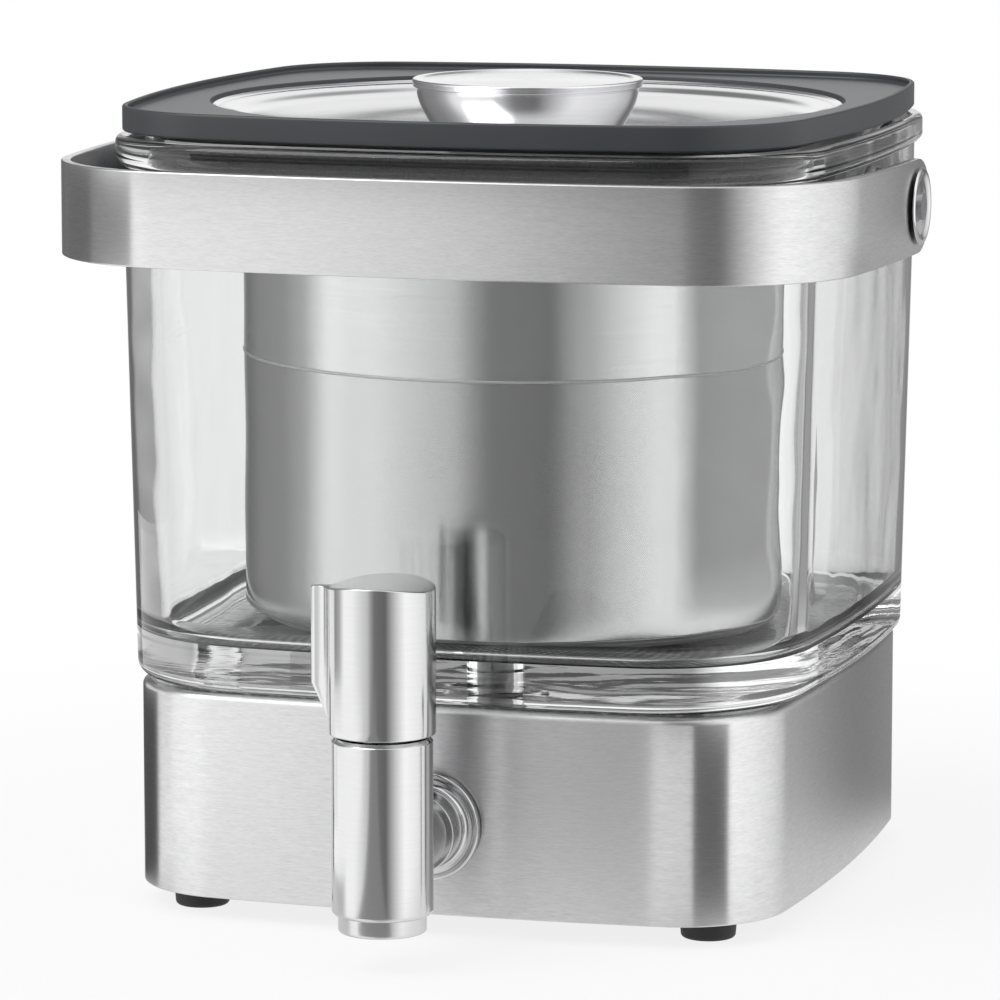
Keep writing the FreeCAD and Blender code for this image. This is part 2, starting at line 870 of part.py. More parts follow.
def make_tap_valve():
    """The turning plug: its side port meets the arm's channel after a quarter turn."""
    body = new_body("tap_valve")
    section = sketch_on(body, "XZ_Plane")
    shoulder = spigot_radius - dim.air
    groove_top = tap_top - dim.oring_drop
    groove_bottom = groove_top - dim.oring_wire * 2
    groove_floor = oring_outside - dim.oring_wire * 2
    polygon(section, [
        (0, valve_bottom),
        (shoulder, valve_bottom),
        (shoulder, shoulder_top),
        (valve_radius, shoulder_top),
        (valve_radius, groove_bottom),
        (groove_floor, groove_bottom),
        (groove_floor, groove_top),
        (valve_radius, groove_top),
        (valve_radius, grip_bottom),
        (0, grip_bottom),
    ])
    revolve(body, section)
    drive = sketch_on(body, "XY_Plane", grip_bottom)
    square(drive, dim.drive_half)
    pad(body, drive, dim.drive_height)
    rise = arm_level + dim.channel_radius - valve_bottom
    bore(body, "XY_Plane", dim.channel_radius, valve_bottom, rise, 0, 0, True)
    bore(body, "YZ_Plane", dim.channel_radius, 0, valve_radius * OVERCUT, 0, arm_level, True)
    return on_tap(body)


def square(sketch, half):
    polygon(sketch, [(half, half), (-half, half), (-half, -half), (half, -half)])


def make_tap_oring():
    ring = doc.addObject("Part::Torus", "tap_oring")
    ring.Label = "tap_oring"
    bind(ring, "Radius1", oring_outside - dim.oring_wire)
    bind(ring, "Radius2", dim.oring_wire)
    place(ring, 0, tap_y, tap_top - dim.oring_drop - dim.oring_wire)
    doc.recompute()
    return ring


def make_tap_grip():
    """The round twist grip with a thumb fin, hollow but for the hub on the valve's drive."""
    body = new_body("tap_grip")
    outside = sketch_on(body, "XY_Plane", grip_bottom)
    circle(outside, grip_radius)
    pad(body, outside, dim.grip_height)
    fin = sketch_on(body, "XZ_Plane", -dim.fin_half)
    fin_edge = grip_radius + dim.fin_reach
    root = grip_radius - dim.grip_wall / 2
    fin_low = grip_bottom + dim.fin_lift
    polygon(fin, [
        (-root, fin_low - dim.fin_lift / 2),
        (-fin_edge, fin_low + dim.fin_slope),
        (-fin_edge, grip_end - dim.fin_half),
        (-(fin_edge - dim.fin_half), grip_end),
        (-root, grip_end),
    ])
    pad(body, fin, dim.fin_half * 2)
    cavity = sketch_on(body, "XY_Plane", grip_bottom)
    circle(cavity, grip_radius - dim.grip_wall)
    pocket(body, cavity, dim.grip_height - dim.grip_top, True)
    hub = sketch_on(body, "XY_Plane", grip_bottom)
    circle(hub, dim.hub_radius)
    pad(body, hub, dim.grip_height - dim.grip_top / 2)
    socket = sketch_on(body, "XY_Plane", grip_bottom)
    square(socket, dim.drive_half)
    pocket(body, socket, dim.drive_height + dim.air, True)
    screw_level = grip_bottom + dim.set_screw_lift
    bore(body, "XZ_Plane", dim.set_screw, 0, grip_radius * OVERCUT, 0, screw_level)
    return on_tap(body)


def make_grip_set_screw():
    screw = doc.addObject("Part::Cylinder", "grip_set_screw")
    screw.Label = "grip_set_screw"
    bind(screw, "Radius", dim.set_screw)
    length = grip_radius - dim.drive_half - dim.air
    bind(screw, "Height", length)
    level = grip_bottom + dim.set_screw_lift
    place(screw, 0, tap_y + dim.drive_half + length, level, ALONG_FRONT)
    doc.recompute()
    return screw


# ---- handle and its pivots ------------------------------------------------------------

plate_face = strap_half + dim.plate_stand
spot_face = band_half_x - dim.band_thickness + dim.spot_depth
cap_face = band_half_x + dim.air
cap_radius = dim.spacer_radius
ear_side = dim.ear_gap / 2 + dim.ear_thickness
ear_screw_y = strap_half + (dim.ear_reach - dim.strap_thickness) / 2 + dim.strap_thickness


def make_neck_strap():
    """The steel strap round the glass neck, with a pivot plate each side and ears behind."""
    body = new_body("neck_strap")
    low = pivot_level - dim.strap_height / 2
    inside = grown(JAR_OUTLINE, dim.strap_fit)
    slab(body, grown(inside, dim.strap_thickness), low, dim.strap_height)
    hollow(body, inside, low + dim.strap_height, dim.strap_height * OVERCUT)
    ears = sketch_on(body, "XY_Plane", low)
    root = strap_half - dim.strap_thickness / 2
    polygon(ears, [(ear_side, root), (ear_side, ear_end), (-ear_side, ear_end), (-ear_side, root)])
    pad(body, ears, dim.strap_height)
    split = sketch_on(body, "XY_Plane", low + dim.strap_height)
    gap = dim.ear_gap / 2
    near = dim.jar_half - dim.strap_thickness
    far = ear_end + dim.strap_thickness
    polygon(split, [(gap, near), (gap, far), (-gap, far), (-gap, near)])
    pocket(body, split, dim.strap_height * OVERCUT)
    start = ear_side * OVERCUT
    bore(body, "YZ_Plane", dim.ear_screw, start, start * 2, ear_screw_y, pivot_level)
    for side in (1, -1):
        plate = sketch_on(body, "YZ_Plane", side * plate_face)
        circle(plate, dim.spacer_radius + dim.plate_margin, -dim.pivot_forward, pivot_level)
        pad(body, plate, dim.plate_stand + dim.plate_sink, side > 0)
        slot = sketch_on(body, "YZ_Plane", side * plate_face)
        quarter_slot(slot, -dim.pivot_forward, pivot_level)
        pocket(body, slot, dim.slot_depth, side < 0)
        seat = sketch_on(body, "YZ_Plane", side * plate_face)
        circle(seat, dim.stud_radius, -dim.pivot_forward, pivot_level)
        pocket(body, seat, dim.stud_seat, side < 0)
    return on_axis(body)


def quarter_slot(sketch, y, z):
    """The curved slot that lets the handle's lug travel a quarter turn, from rear to below."""
    half = dim.lug_radius + dim.air
    centre = (number_of(y), number_of(z))
    big = number_of(dim.lug_circle)
    small = number_of(half)
    play = number_of(dim.slot_play)
    first = math.asin(play / big)
    last = -math.pi / 2 - first
    rear = (centre[0] + big * math.cos(first), centre[1] + big * math.sin(first))
    below = (centre[0] + big * math.cos(last), centre[1] + big * math.sin(last))
    outer = arc(sketch, centre, big + small, last, first)
    inner = arc(sketch, centre, big - small, last, first)
    rear_end = arc(sketch, rear, small, first, first + math.pi)
    below_end = arc(sketch, below, small, last - math.pi, last)
    joints = [
        (outer, 2, rear_end, 1),
        (rear_end, 2, inner, 2),
        (inner, 1, below_end, 1),
        (below_end, 2, outer, 1),
    ]
    for joint in joints:
        sketch.addConstraint(Sketcher.Constraint("Tangent", *joint))
    hold_point(sketch, outer, 3, y, z)
    sketch.addConstraint(Sketcher.Constraint("Coincident", outer, 3, inner, 3))
    hold(sketch, "Radius", (outer,), dim.lug_circle + half)
    hold(sketch, "Radius", (inner,), dim.lug_circle - half)
    hold(sketch, "DistanceY", (-1, 1, rear_end, 3), z + dim.slot_play)
    hold(sketch, "DistanceX", (-1, 1, below_end, 3), y - dim.slot_play)


def make_strap_screw():
    """The cross screw that draws the strap's two ears together."""
    tip = ear_side + dim.ear_screw_tail
    head_top = ear_side + dim.ear_head_height
    body = turned("strap_screw", [
        (0, -tip),
        (dim.ear_screw, -tip),
        (dim.ear_screw, ear_side),
        (dim.ear_screw_head, ear_side),
        (dim.ear_screw_head, head_top),
        (0, head_top),
    ])
    place(body, 0, middle_y + ear_screw_y, pivot_level, along_side(1))
    return body


def make_strap_nut():
    height = dim.ear_head_height
    body = hex_nut("strap_nut", dim.ear_screw, dim.ear_screw_head - dim.ear_screw, height)
    place(body, -(ear_side + height), middle_y + ear_screw_y, pivot_level, along_side(1))
    return body


def make_pivot_stud(name, side):
    """The pin that the handle turns on, from the strap's plate to the outer cap."""
    start = plate_face - dim.stud_seat
    stud = doc.addObject("Part::Cylinder", f"pivot_stud_{name}")
    stud.Label = f"pivot_stud_{name}"
    bind(stud, "Radius", dim.stud_radius)
    bind(stud, "Height", cap_face + dim.cap_thickness / 2 - start)
    place(stud, side * start, pivot_y, pivot_level, along_side(side))
    doc.recompute()
    return stud


def make_pivot_cap(name, side):
    """The polished round cap on the stud's end, dished in the middle."""
    thick = dim.cap_thickness
    flat = cap_radius - dim.cap_edge
    dish = thick - dim.cap_dish
    body = turned(f"pivot_cap_{name}", [
        (dim.stud_radius, 0),
        (flat, 0),
        (cap_radius, dim.cap_edge),
        (flat, thick),
        (flat - dim.cap_rim, thick),
        (dim.stud_radius, dish),
        (0, dish),
        (0, thick / 2),
        (dim.stud_radius, thick / 2),
    ])
    place(body, side * cap_face, pivot_y, pivot_level, along_side(side))
    return body


def make_handle_spacer(name, side):
    """The plastic hub between strap plate and band, with the lug that runs in the slot."""
    start = plate_face + dim.air
    bore_radius = dim.stud_radius + dim.running_fit
    body = new_body(f"handle_spacer_{name}")
    rings = sketch_on(body, "XY_Plane")
    circle(rings, dim.spacer_radius)
    circle(rings, bore_radius)
    pad(body, rings, spot_face - start)
    lug = sketch_on(body, "XY_Plane")
    circle(lug, dim.lug_radius, 0, dim.lug_circle)
    pad(body, lug, dim.lug_length + dim.air, True)
    place(body, side * start, pivot_y, pivot_level, along_side(side))
    return body


def make_carry_handle():
    """One steel band: across the front, round two corners and back to the pivots."""
    body = new_body("carry_handle")
    low = pivot_level - dim.band_height / 2
    slab(body, BAND_OUTLINE, low, dim.band_height)
    inside = grown(BAND_OUTLINE, -dim.band_thickness)
    hollow(body, inside, low + dim.band_height, dim.band_height * OVERCUT)
    start = band_half_x * OVERCUT
    away = sketch_on(body, "YZ_Plane", start)
    trim_behind_pivot(away, -dim.pivot_forward, pivot_level, dim.band_height / 2)
    pocket(body, away, start * 2)
    eye = dim.stud_radius + dim.running_fit
    bore(body, "YZ_Plane", eye, start, start * 2, -dim.pivot_forward, pivot_level)
    spot = dim.spacer_radius + dim.air
    for side in (1, -1):
        seat = sketch_on(body, "YZ_Plane", side * spot_face)
        circle(seat, spot, -dim.pivot_forward, pivot_level)
        pocket(body, seat, dim.spot_depth + dim.band_thickness, side < 0)
    return on_axis(body)


def trim_behind_pivot(sketch, y, z, half):
    """The area behind the pivot, less the half disc that rounds the arm's end."""
    extra = number_of(half)
    centre = (number_of(y), number_of(z))
    beyond = band_half_y * OVERCUT
    far = number_of(beyond)
    top = centre[1] + extra
    bottom = centre[1] - extra
    corners = [
        V(centre[0], bottom, 0),
        V(centre[0], bottom - extra, 0),
        V(far, bottom - extra, 0),
        V(far, top + extra, 0),
        V(centre[0], top + extra, 0),
        V(centre[0], top, 0),
    ]
    lines = []
    for start, end in zip(corners, corners[1:]):
        lines.append(sketch.addGeometry(Part.LineSegment(start, end), False))
    end_arc = arc(sketch, centre, extra, -math.pi / 2, math.pi / 2)
    for before, after in zip(lines, lines[1:]):
        sketch.addConstraint(Sketcher.Constraint("Coincident", before, 2, after, 1))
    sketch.addConstraint(Sketcher.Constraint("Coincident", lines[-1], 2, end_arc, 2))
    sketch.addConstraint(Sketcher.Constraint("Coincident", end_arc, 1, lines[0], 1))
    for line in (lines[0], lines[2], lines[4]):
        sketch.addConstraint(Sketcher.Constraint("Vertical", line))
    for line in (lines[1], lines[3]):
        sketch.addConstraint(Sketcher.Constraint("Horizontal", line))
    hold_point(sketch, end_arc, 3, y, z)
    hold(sketch, "Radius", (end_arc,), half)
    hold(sketch, "DistanceX", (-1, 1, lines[0], 1), y)
    hold(sketch, "DistanceX", (-1, 1, lines[4], 1), y)
    hold(sketch, "DistanceX", (-1, 1, lines[2], 1), beyond)
    hold(sketch, "DistanceY", (-1, 1, lines[1], 1), z - half * 2)
    hold(sketch, "DistanceY", (-1, 1, lines[3], 1), z + half * 2)


# ---- lid ------------------------------------------------------------------------------

dish_rim_top = panel_top - dim.lid_ledge
dish_flange_radius = opening_radius + dim.dish_flange
dish_top = panel_top - dim.lid_ledge - dim.dish_depth
dish_bottom = dish_top - dim.dish_gauge
knob_end = dish_top + dim.knob_height
PLUG_OUTLINE = grown(MOUTH_OUTLINE, -dim.plug_gap)


def make_lid_frame():
    """The square plastic frame: a thin raised lip outside, a round opening inside."""
    body = new_body("lid_frame")
    slab(body, LID_OUTLINE, lid_bottom, dim.lid_height)
    hollow(body, grown(LID_OUTLINE, -dim.lip_width), lid_top, dim.lip_rise)
    bore(body, "XY_Plane", opening_radius, lid_top, dim.lid_height * OVERCUT)
    rebate = dish_flange_radius + dim.inner_fit
    bore(body, "XY_Plane", rebate, lid_bottom, dish_rim_top - lid_bottom, 0, 0, True)
    return on_axis(body)


def make_lid_dish():
    """The polished steel dish that fills the frame's opening."""
    wall = opening_radius - dim.inner_fit
    steps = 8
    upper = [(dish_flange_radius, dish_rim_top)]
    for step in range(steps + 1):
        share = step / steps
        fall = 1 - (1 - share) ** 2
        upper.append((wall - dim.dish_slope * share, dish_rim_top - dim.dish_depth * fall))
    upper.append((dim.knob_screw + dim.inner_fit, dish_top))
    lower = [(radius, level - dim.dish_gauge) for radius, level in reversed(upper)]
    return on_axis(turned("lid_dish", upper + lower))


def make_lid_plug():
    """The plastic tray under the frame: it fills the jar's mouth and closes the lid below."""
    body = new_body("lid_plug")
    slab(body, PLUG_OUTLINE, plug_bottom, lid_bottom - plug_bottom)
    depth = lid_bottom - plug_bottom - dim.plug_floor
    hollow(body, grown(PLUG_OUTLINE, -dim.plug_wall), lid_bottom, depth)
    return on_axis(body)


def make_lid_seal():
    """The silicone ring round the plug, just inside the glass."""
    body = new_body("lid_seal")
    low = jar_top - dim.seal_drop - dim.seal_height
    slab(body, grown(MOUTH_OUTLINE, -dim.air), low, dim.seal_height)
    hollow(body, PLUG_OUTLINE, low + dim.seal_height, dim.seal_height * OVERCUT)
    return on_axis(body)


def make_lid_knob():
    """The turned steel knob: a broad flat top over a bowl-shaped waist."""
    edge_low = knob_end - dim.knob_edge
    waist_top = dim.knob_radius - dim.knob_step
    steps = 8
    waist = []
    for step in range(steps + 1):
        share = step / steps
        swell = math.sin(share * math.pi / 2)
        radius = dim.knob_foot + (waist_top - dim.knob_foot) * swell
        waist.append((radius, dish_top + (edge_low - dish_top) * share))
    profile = [(dim.knob_screw, dish_top)] + waist + [
        (dim.knob_radius - dim.knob_step / 3, edge_low),
        (dim.knob_radius, edge_low + dim.knob_step / 3),
        (dim.knob_radius, knob_end - dim.knob_step / 2),
        (dim.knob_radius - dim.knob_step / 2, knob_end),
        (dim.knob_radius - dim.knob_edge, knob_end),
        (dim.knob_radius - dim.knob_edge - dim.knob_hollow, knob_end - dim.knob_hollow),
        (0, knob_end - dim.knob_hollow),
        (0, dish_top + dim.knob_screw_grip),
        (dim.knob_screw, dish_top + dim.knob_screw_grip),
    ]
    return on_axis(turned("lid_knob", profile))


def make_knob_washer():
    low = dish_bottom - dim.washer_thickness
    section = ring_section(dim.knob_screw, dim.knob_washer, low, dish_bottom)
    return on_axis(turned("knob_washer", section))


def make_knob_screw():
    head_top = dish_bottom - dim.washer_thickness
    head_bottom = head_top - dim.knob_head_height
    end = dish_top + dim.knob_screw_grip
    return on_axis(turned("knob_screw", [
        (0, head_bottom),
        (dim.knob_screw_head, head_bottom),
        (dim.knob_screw_head, head_top),
        (dim.knob_screw, head_top),
        (dim.knob_screw, end),
        (0, end),
    ]))


# ---- steeper --------------------------------------------------------------------------

steeper_bottom = floor_top + dim.air
ring_top = steeper_bottom + dim.ring_height
seam_level = steeper_bottom + dim.seam_height
steeper_top = plug_bottom - dim.steeper_headroom
bail_level = steeper_top - dim.bail_drop
bail_radius = steeper_radius - dim.steeper_skin - dim.bail_side


def make_steeper_wall():
    inside = steeper_radius - dim.steeper_skin
    section = ring_section(inside, steeper_radius, seam_level, steeper_top)
    return on_axis(turned("steeper_wall", section))


def make_steeper_mesh():
    """The fine mesh sleeve, set back a little under the solid wall, as one thin tube."""
    outside = steeper_radius - dim.mesh_step
    section = ring_section(outside - dim.mesh_skin, outside, ring_top, seam_level)
    return on_axis(turned("steeper_mesh", section))


def make_steeper_ring():
    """The steel ring at the bottom that carries the sleeve and the mesh floor."""
    inside = steeper_radius - dim.ring_width
    section = ring_section(inside, steeper_radius, steeper_bottom, ring_top)
    return on_axis(turned("steeper_ring", section))


def make_steeper_floor():
    low = steeper_bottom + dim.ring_height / 2
    inside = steeper_radius - dim.ring_width
    section = [(0, low), (inside, low), (inside, low + dim.floor_mesh), (0, low + dim.floor_mesh)]
    return on_axis(turned("steeper_floor", section))


def make_steeper_rim():
    """The stiff rolled rim round the top of the solid wall."""
    outside = steeper_radius + dim.rim_width
    low = steeper_top - dim.rim_height
    section = [
        (steeper_radius, low),
        (outside - dim.rim_edge, low),
        (outside, low + dim.rim_edge),
        (outside, steeper_top - dim.rim_edge),
        (outside - dim.rim_edge, steeper_top),
        (steeper_radius, steeper_top),
    ]
    return on_axis(turned("steeper_rim", section))


def make_bail_eye(name, side):
    """A lug inside the steeper's wall with the hole that one end of the bail turns in."""
    wall = steeper_radius - dim.steeper_skin
    block = doc.addObject("Part::Box", f"eye_block_{name}")
    bind(block, "Length", dim.eye_depth * 2)
    bind(block, "Width", dim.eye_half * 2)
    bind(block, "Height", dim.eye_rise * 2)
    start = wall - dim.eye_depth
    low_x = start if side > 0 else -(start + dim.eye_depth * 2)
    place(block, low_x, -dim.eye_half, bail_level - dim.eye_rise)
    room = doc.addObject("Part::Cylinder", f"eye_room_{name}")
    bind(room, "Radius", wall)
    bind(room, "Height", steeper_top)
    place(room, 0, 0, 0)
    lug = doc.addObject("Part::MultiCommon", f"eye_lug_{name}")
    lug.Shapes = [block, room]
    hole = doc.addObject("Part::Cylinder", f"eye_hole_{name}")
    bind(hole, "Radius", dim.bail_wire + dim.running_fit)
    bind(hole, "Height", wall * 2)
    place(hole, 0, 0, bail_level, along_side(side))
    eye = doc.addObject("Part::Cut", f"bail_eye_{name}")
    eye.Label = f"bail_eye_{name}"
    eye.Base = lug
    eye.Tool = hole
    doc.recompute()
    return on_axis(eye)


def make_steeper_bail():
    """The bent wire that lifts the steeper, folded flat towards the rear."""
    body = new_body("steeper_bail")
    tip = steeper_radius - dim.steeper_skin - dim.air * 2
    route = sketch_on(body, "XY_Plane")
    bail_route(route, tip)
    section = sketch_on(body, "YZ_Plane", tip)
    circle(section, dim.bail_wire)
    pipe = add_feature(body, "AdditivePipe", section)
    pipe.Spine = (route, [f"Edge{number}" for number in range(1, 6)])
    doc.recompute()
    return on_axis(body, bail_level)


def bail_route(sketch, tip):
    """The wire's middle line: in from one eye, round a bend, the bow, and out again."""
    end = number_of(tip)
    big = number_of(bail_radius)
    small = number_of(dim.bail_bend)
    bend_x = big + small
    curves = [
        sketch.addGeometry(Part.LineSegment(V(end, 0, 0), V(bend_x, 0, 0)), False),
        arc(sketch, (bend_x, small), small, math.pi, math.pi * 1.5),
        arc(sketch, (0, small), big, 0, math.pi),
        arc(sketch, (-bend_x, small), small, math.pi * 1.5, math.pi * 2),
        sketch.addGeometry(Part.LineSegment(V(-bend_x, 0, 0), V(-end, 0, 0)), False),
    ]
    ends = [(2, 2), (1, 1), (2, 2), (1, 1)]
    for (before, after), (leave, enter) in zip(zip(curves, curves[1:]), ends):
        sketch.addConstraint(Sketcher.Constraint("Tangent", before, leave, after, enter))
    hold_point(sketch, curves[0], 1, tip, 0)
    hold_point(sketch, curves[4], 2, -tip, 0)
    sketch.addConstraint(Sketcher.Constraint("Horizontal", curves[0]))
    sketch.addConstraint(Sketcher.Constraint("Horizontal", curves[4]))
    hold(sketch, "Radius", (curves[1],), dim.bail_bend)
    hold(sketch, "Radius", (curves[3],), dim.bail_bend)
    hold(sketch, "Radius", (curves[2],), bail_radius)


# ---- assembly -------------------------------------------------------------------------

SIDES = (("left", -1), ("right", 1))

pieces = [make_base_shell(), make_base_frame(), make_base_floor()]
pieces += [make_foot(name, x, y) for name, x, y in foot_places()]
pieces += [make_foot_screws(), make_seat_pad(), make_glass_jar()]
pieces += [make_drain_washer(), make_drain_bolt(), make_drain_nut(), make_drain_elbow()]
pieces += [make_tap_gasket(), make_tap_flange(), make_tap_body(), make_tap_nut()]
pieces += [make_tap_nozzle(), make_tap_valve(), make_tap_oring(), make_tap_grip()]
pieces += [make_grip_set_screw(), make_neck_strap(), make_strap_screw(), make_strap_nut()]
pieces += [make_pivot_stud(name, side) for name, side in SIDES]
pieces += [make_pivot_cap(name, side) for name, side in SIDES]
pieces += [make_handle_spacer(name, side) for name, side in SIDES]
pieces += [make_carry_handle(), make_lid_frame(), make_lid_dish(), make_lid_plug()]
pieces += [make_lid_seal(), make_lid_knob(), make_knob_washer(), make_knob_screw()]
pieces += [make_steeper_wall(), make_steeper_mesh(), make_steeper_ring()]
pieces += [make_steeper_floor(), make_steeper_rim(), make_steeper_bail()]
pieces += [make_bail_eye(name, side) for name, side in SIDES]

doc.recompute()
for thing in doc.Objects:
    if "Invalid" in thing.State or "Error" in thing.State:
        raise ValueError(f"{thing.Label} failed: {thing.State}")
for piece in pieces:
    if piece.Shape.isNull() or not piece.Shape.isValid() or not piece.Shape.Solids:
        raise ValueError(f"{piece.Label} has no sound solid")

os.makedirs("parts", exist_ok=True)
for piece in pieces:
    piece.Shape.exportStep(f"parts/{piece.Label}.step")
    box = piece.Shape.BoundBox
    lows = f"{box.XMin:8.2f} {box.YMin:8.2f} {box.ZMin:8.2f}"
    highs = f"{box.XMax:8.2f} {box.YMax:8.2f} {box.ZMax:8.2f}"
    print(f"{piece.Label:22s} solids {len(piece.Shape.Solids)}  {lows}  to {highs}")
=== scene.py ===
# %% [markdown]
# # A cold brew coffee maker in glass and brushed steel
# This lesson dresses a finished mechanical model. A square pressed-glass jar stands on a steel
# base with a tap in front. A round steel steeper stands in the jar, a flat dark lid with a turned
# knob closes it, and a steel band swings up over the lid as its handle.
# The mechanical model already has every piece at its real size. It comes in as a fixed frame, so
# each finer surface that is made here takes its place from the piece that it stands for.

import json
import math

import bmesh
import bpy
import numpy as np
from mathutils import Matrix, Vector, noise


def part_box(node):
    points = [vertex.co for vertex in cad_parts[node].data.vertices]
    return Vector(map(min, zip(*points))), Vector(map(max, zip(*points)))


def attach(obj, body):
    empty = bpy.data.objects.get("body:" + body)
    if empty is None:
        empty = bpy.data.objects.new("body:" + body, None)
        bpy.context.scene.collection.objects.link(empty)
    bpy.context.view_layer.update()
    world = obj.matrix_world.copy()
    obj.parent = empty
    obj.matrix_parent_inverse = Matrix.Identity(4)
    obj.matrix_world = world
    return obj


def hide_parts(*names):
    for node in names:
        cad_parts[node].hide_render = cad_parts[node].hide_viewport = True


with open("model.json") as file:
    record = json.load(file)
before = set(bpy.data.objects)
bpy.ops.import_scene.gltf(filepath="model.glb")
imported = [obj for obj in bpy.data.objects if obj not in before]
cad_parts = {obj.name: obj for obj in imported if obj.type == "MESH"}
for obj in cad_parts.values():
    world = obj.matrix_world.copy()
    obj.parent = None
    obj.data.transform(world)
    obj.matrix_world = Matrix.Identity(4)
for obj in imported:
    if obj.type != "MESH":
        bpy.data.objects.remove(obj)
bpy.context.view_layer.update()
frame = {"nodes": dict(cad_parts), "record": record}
MM = 0.001

# %% [markdown]
# ## The camera
# A long lens from nearly two metres keeps the upright edges of the jar almost parallel, which is
# the usual way to show a product. It stands a little to the right and looks slightly down.
# A shorter lens would make the lid's near edge look too wide.

# %% Place the camera
CAMERA_PLACE = (0.49974, -1.67618, 0.38147)
CAMERA_DOWN = 8.622
CAMERA_TURN = 16.665
CAMERA_LENS = 212.93
SENSOR_WIDTH = 36.0

scene = bpy.context.scene
scene.view_settings.view_transform = "Standard"
camera_data = bpy.data.cameras.new("studio_camera")
camera_data.lens = CAMERA_LENS
camera_data.sensor_width = SENSOR_WIDTH
camera = bpy.data.objects.new("studio_camera", camera_data)
camera.location = CAMERA_PLACE
camera.rotation_euler = (math.radians(90 - CAMERA_DOWN), 0, math.radians(CAMERA_TURN))
scene.collection.objects.link(camera)
scene.camera = camera
print("camera:", CAMERA_LENS, "mm lens,", CAMERA_TURN, "degrees to the right")

# %% [markdown]
# ## Shader maths in plain Python
# A material is a graph of nodes, and a formula in nodes is hard to read. A small class wraps one
# socket, so that `1 - mask` or `ripple * 0.5` adds the Math nodes by itself. Any other node comes
# from one method, which sets the node's own options first and its sockets after.


# %% A socket that Python can reckon with
class Wire:
    """A value on its way through a node tree. Adding to it or multiplying it adds a Math node."""

    def __init__(self, tree, socket):
        self.tree = tree
        self.socket = socket

    def __add__(self, other):
        return self.tree.maths("ADD", self, other)

    def __radd__(self, other):
        return self.tree.maths("ADD", other, self)

    def __sub__(self, other):
        return self.tree.maths("SUBTRACT", self, other)

    def __rsub__(self, other):
        return self.tree.maths("SUBTRACT", other, self)

    def __mul__(self, other):
        return self.tree.maths("MULTIPLY", self, other)

    def __rmul__(self, other):
        return self.tree.maths("MULTIPLY", other, self)

    def __truediv__(self, other):
        return self.tree.maths("DIVIDE", self, other)

    def __rtruediv__(self, other):
        return self.tree.maths("DIVIDE", other, self)

    def __pow__(self, other):
        return self.tree.maths("POWER", self, other)

    def __rpow__(self, other):
        return self.tree.maths("POWER", other, self)


def colour(level):
    """A grey from one number, or a colour from three."""
    return (level, level, level, 1.0) if isinstance(level, (int, float)) else (*level, 1.0)


def from_axis(x, y):
    """How far a place is from the upright axis."""
    return (x * x + y * y) ** 0.5


print("sockets can be reckoned with")

# %% [markdown]
# ## A tree of nodes
# Every material here needs the same few things: a place on the surface, noise, a value moved from
# one span to another, and two colours or two shaders blended. Each could be written out with its
# links every time, but one method for each keeps a recipe as short as a sentence.


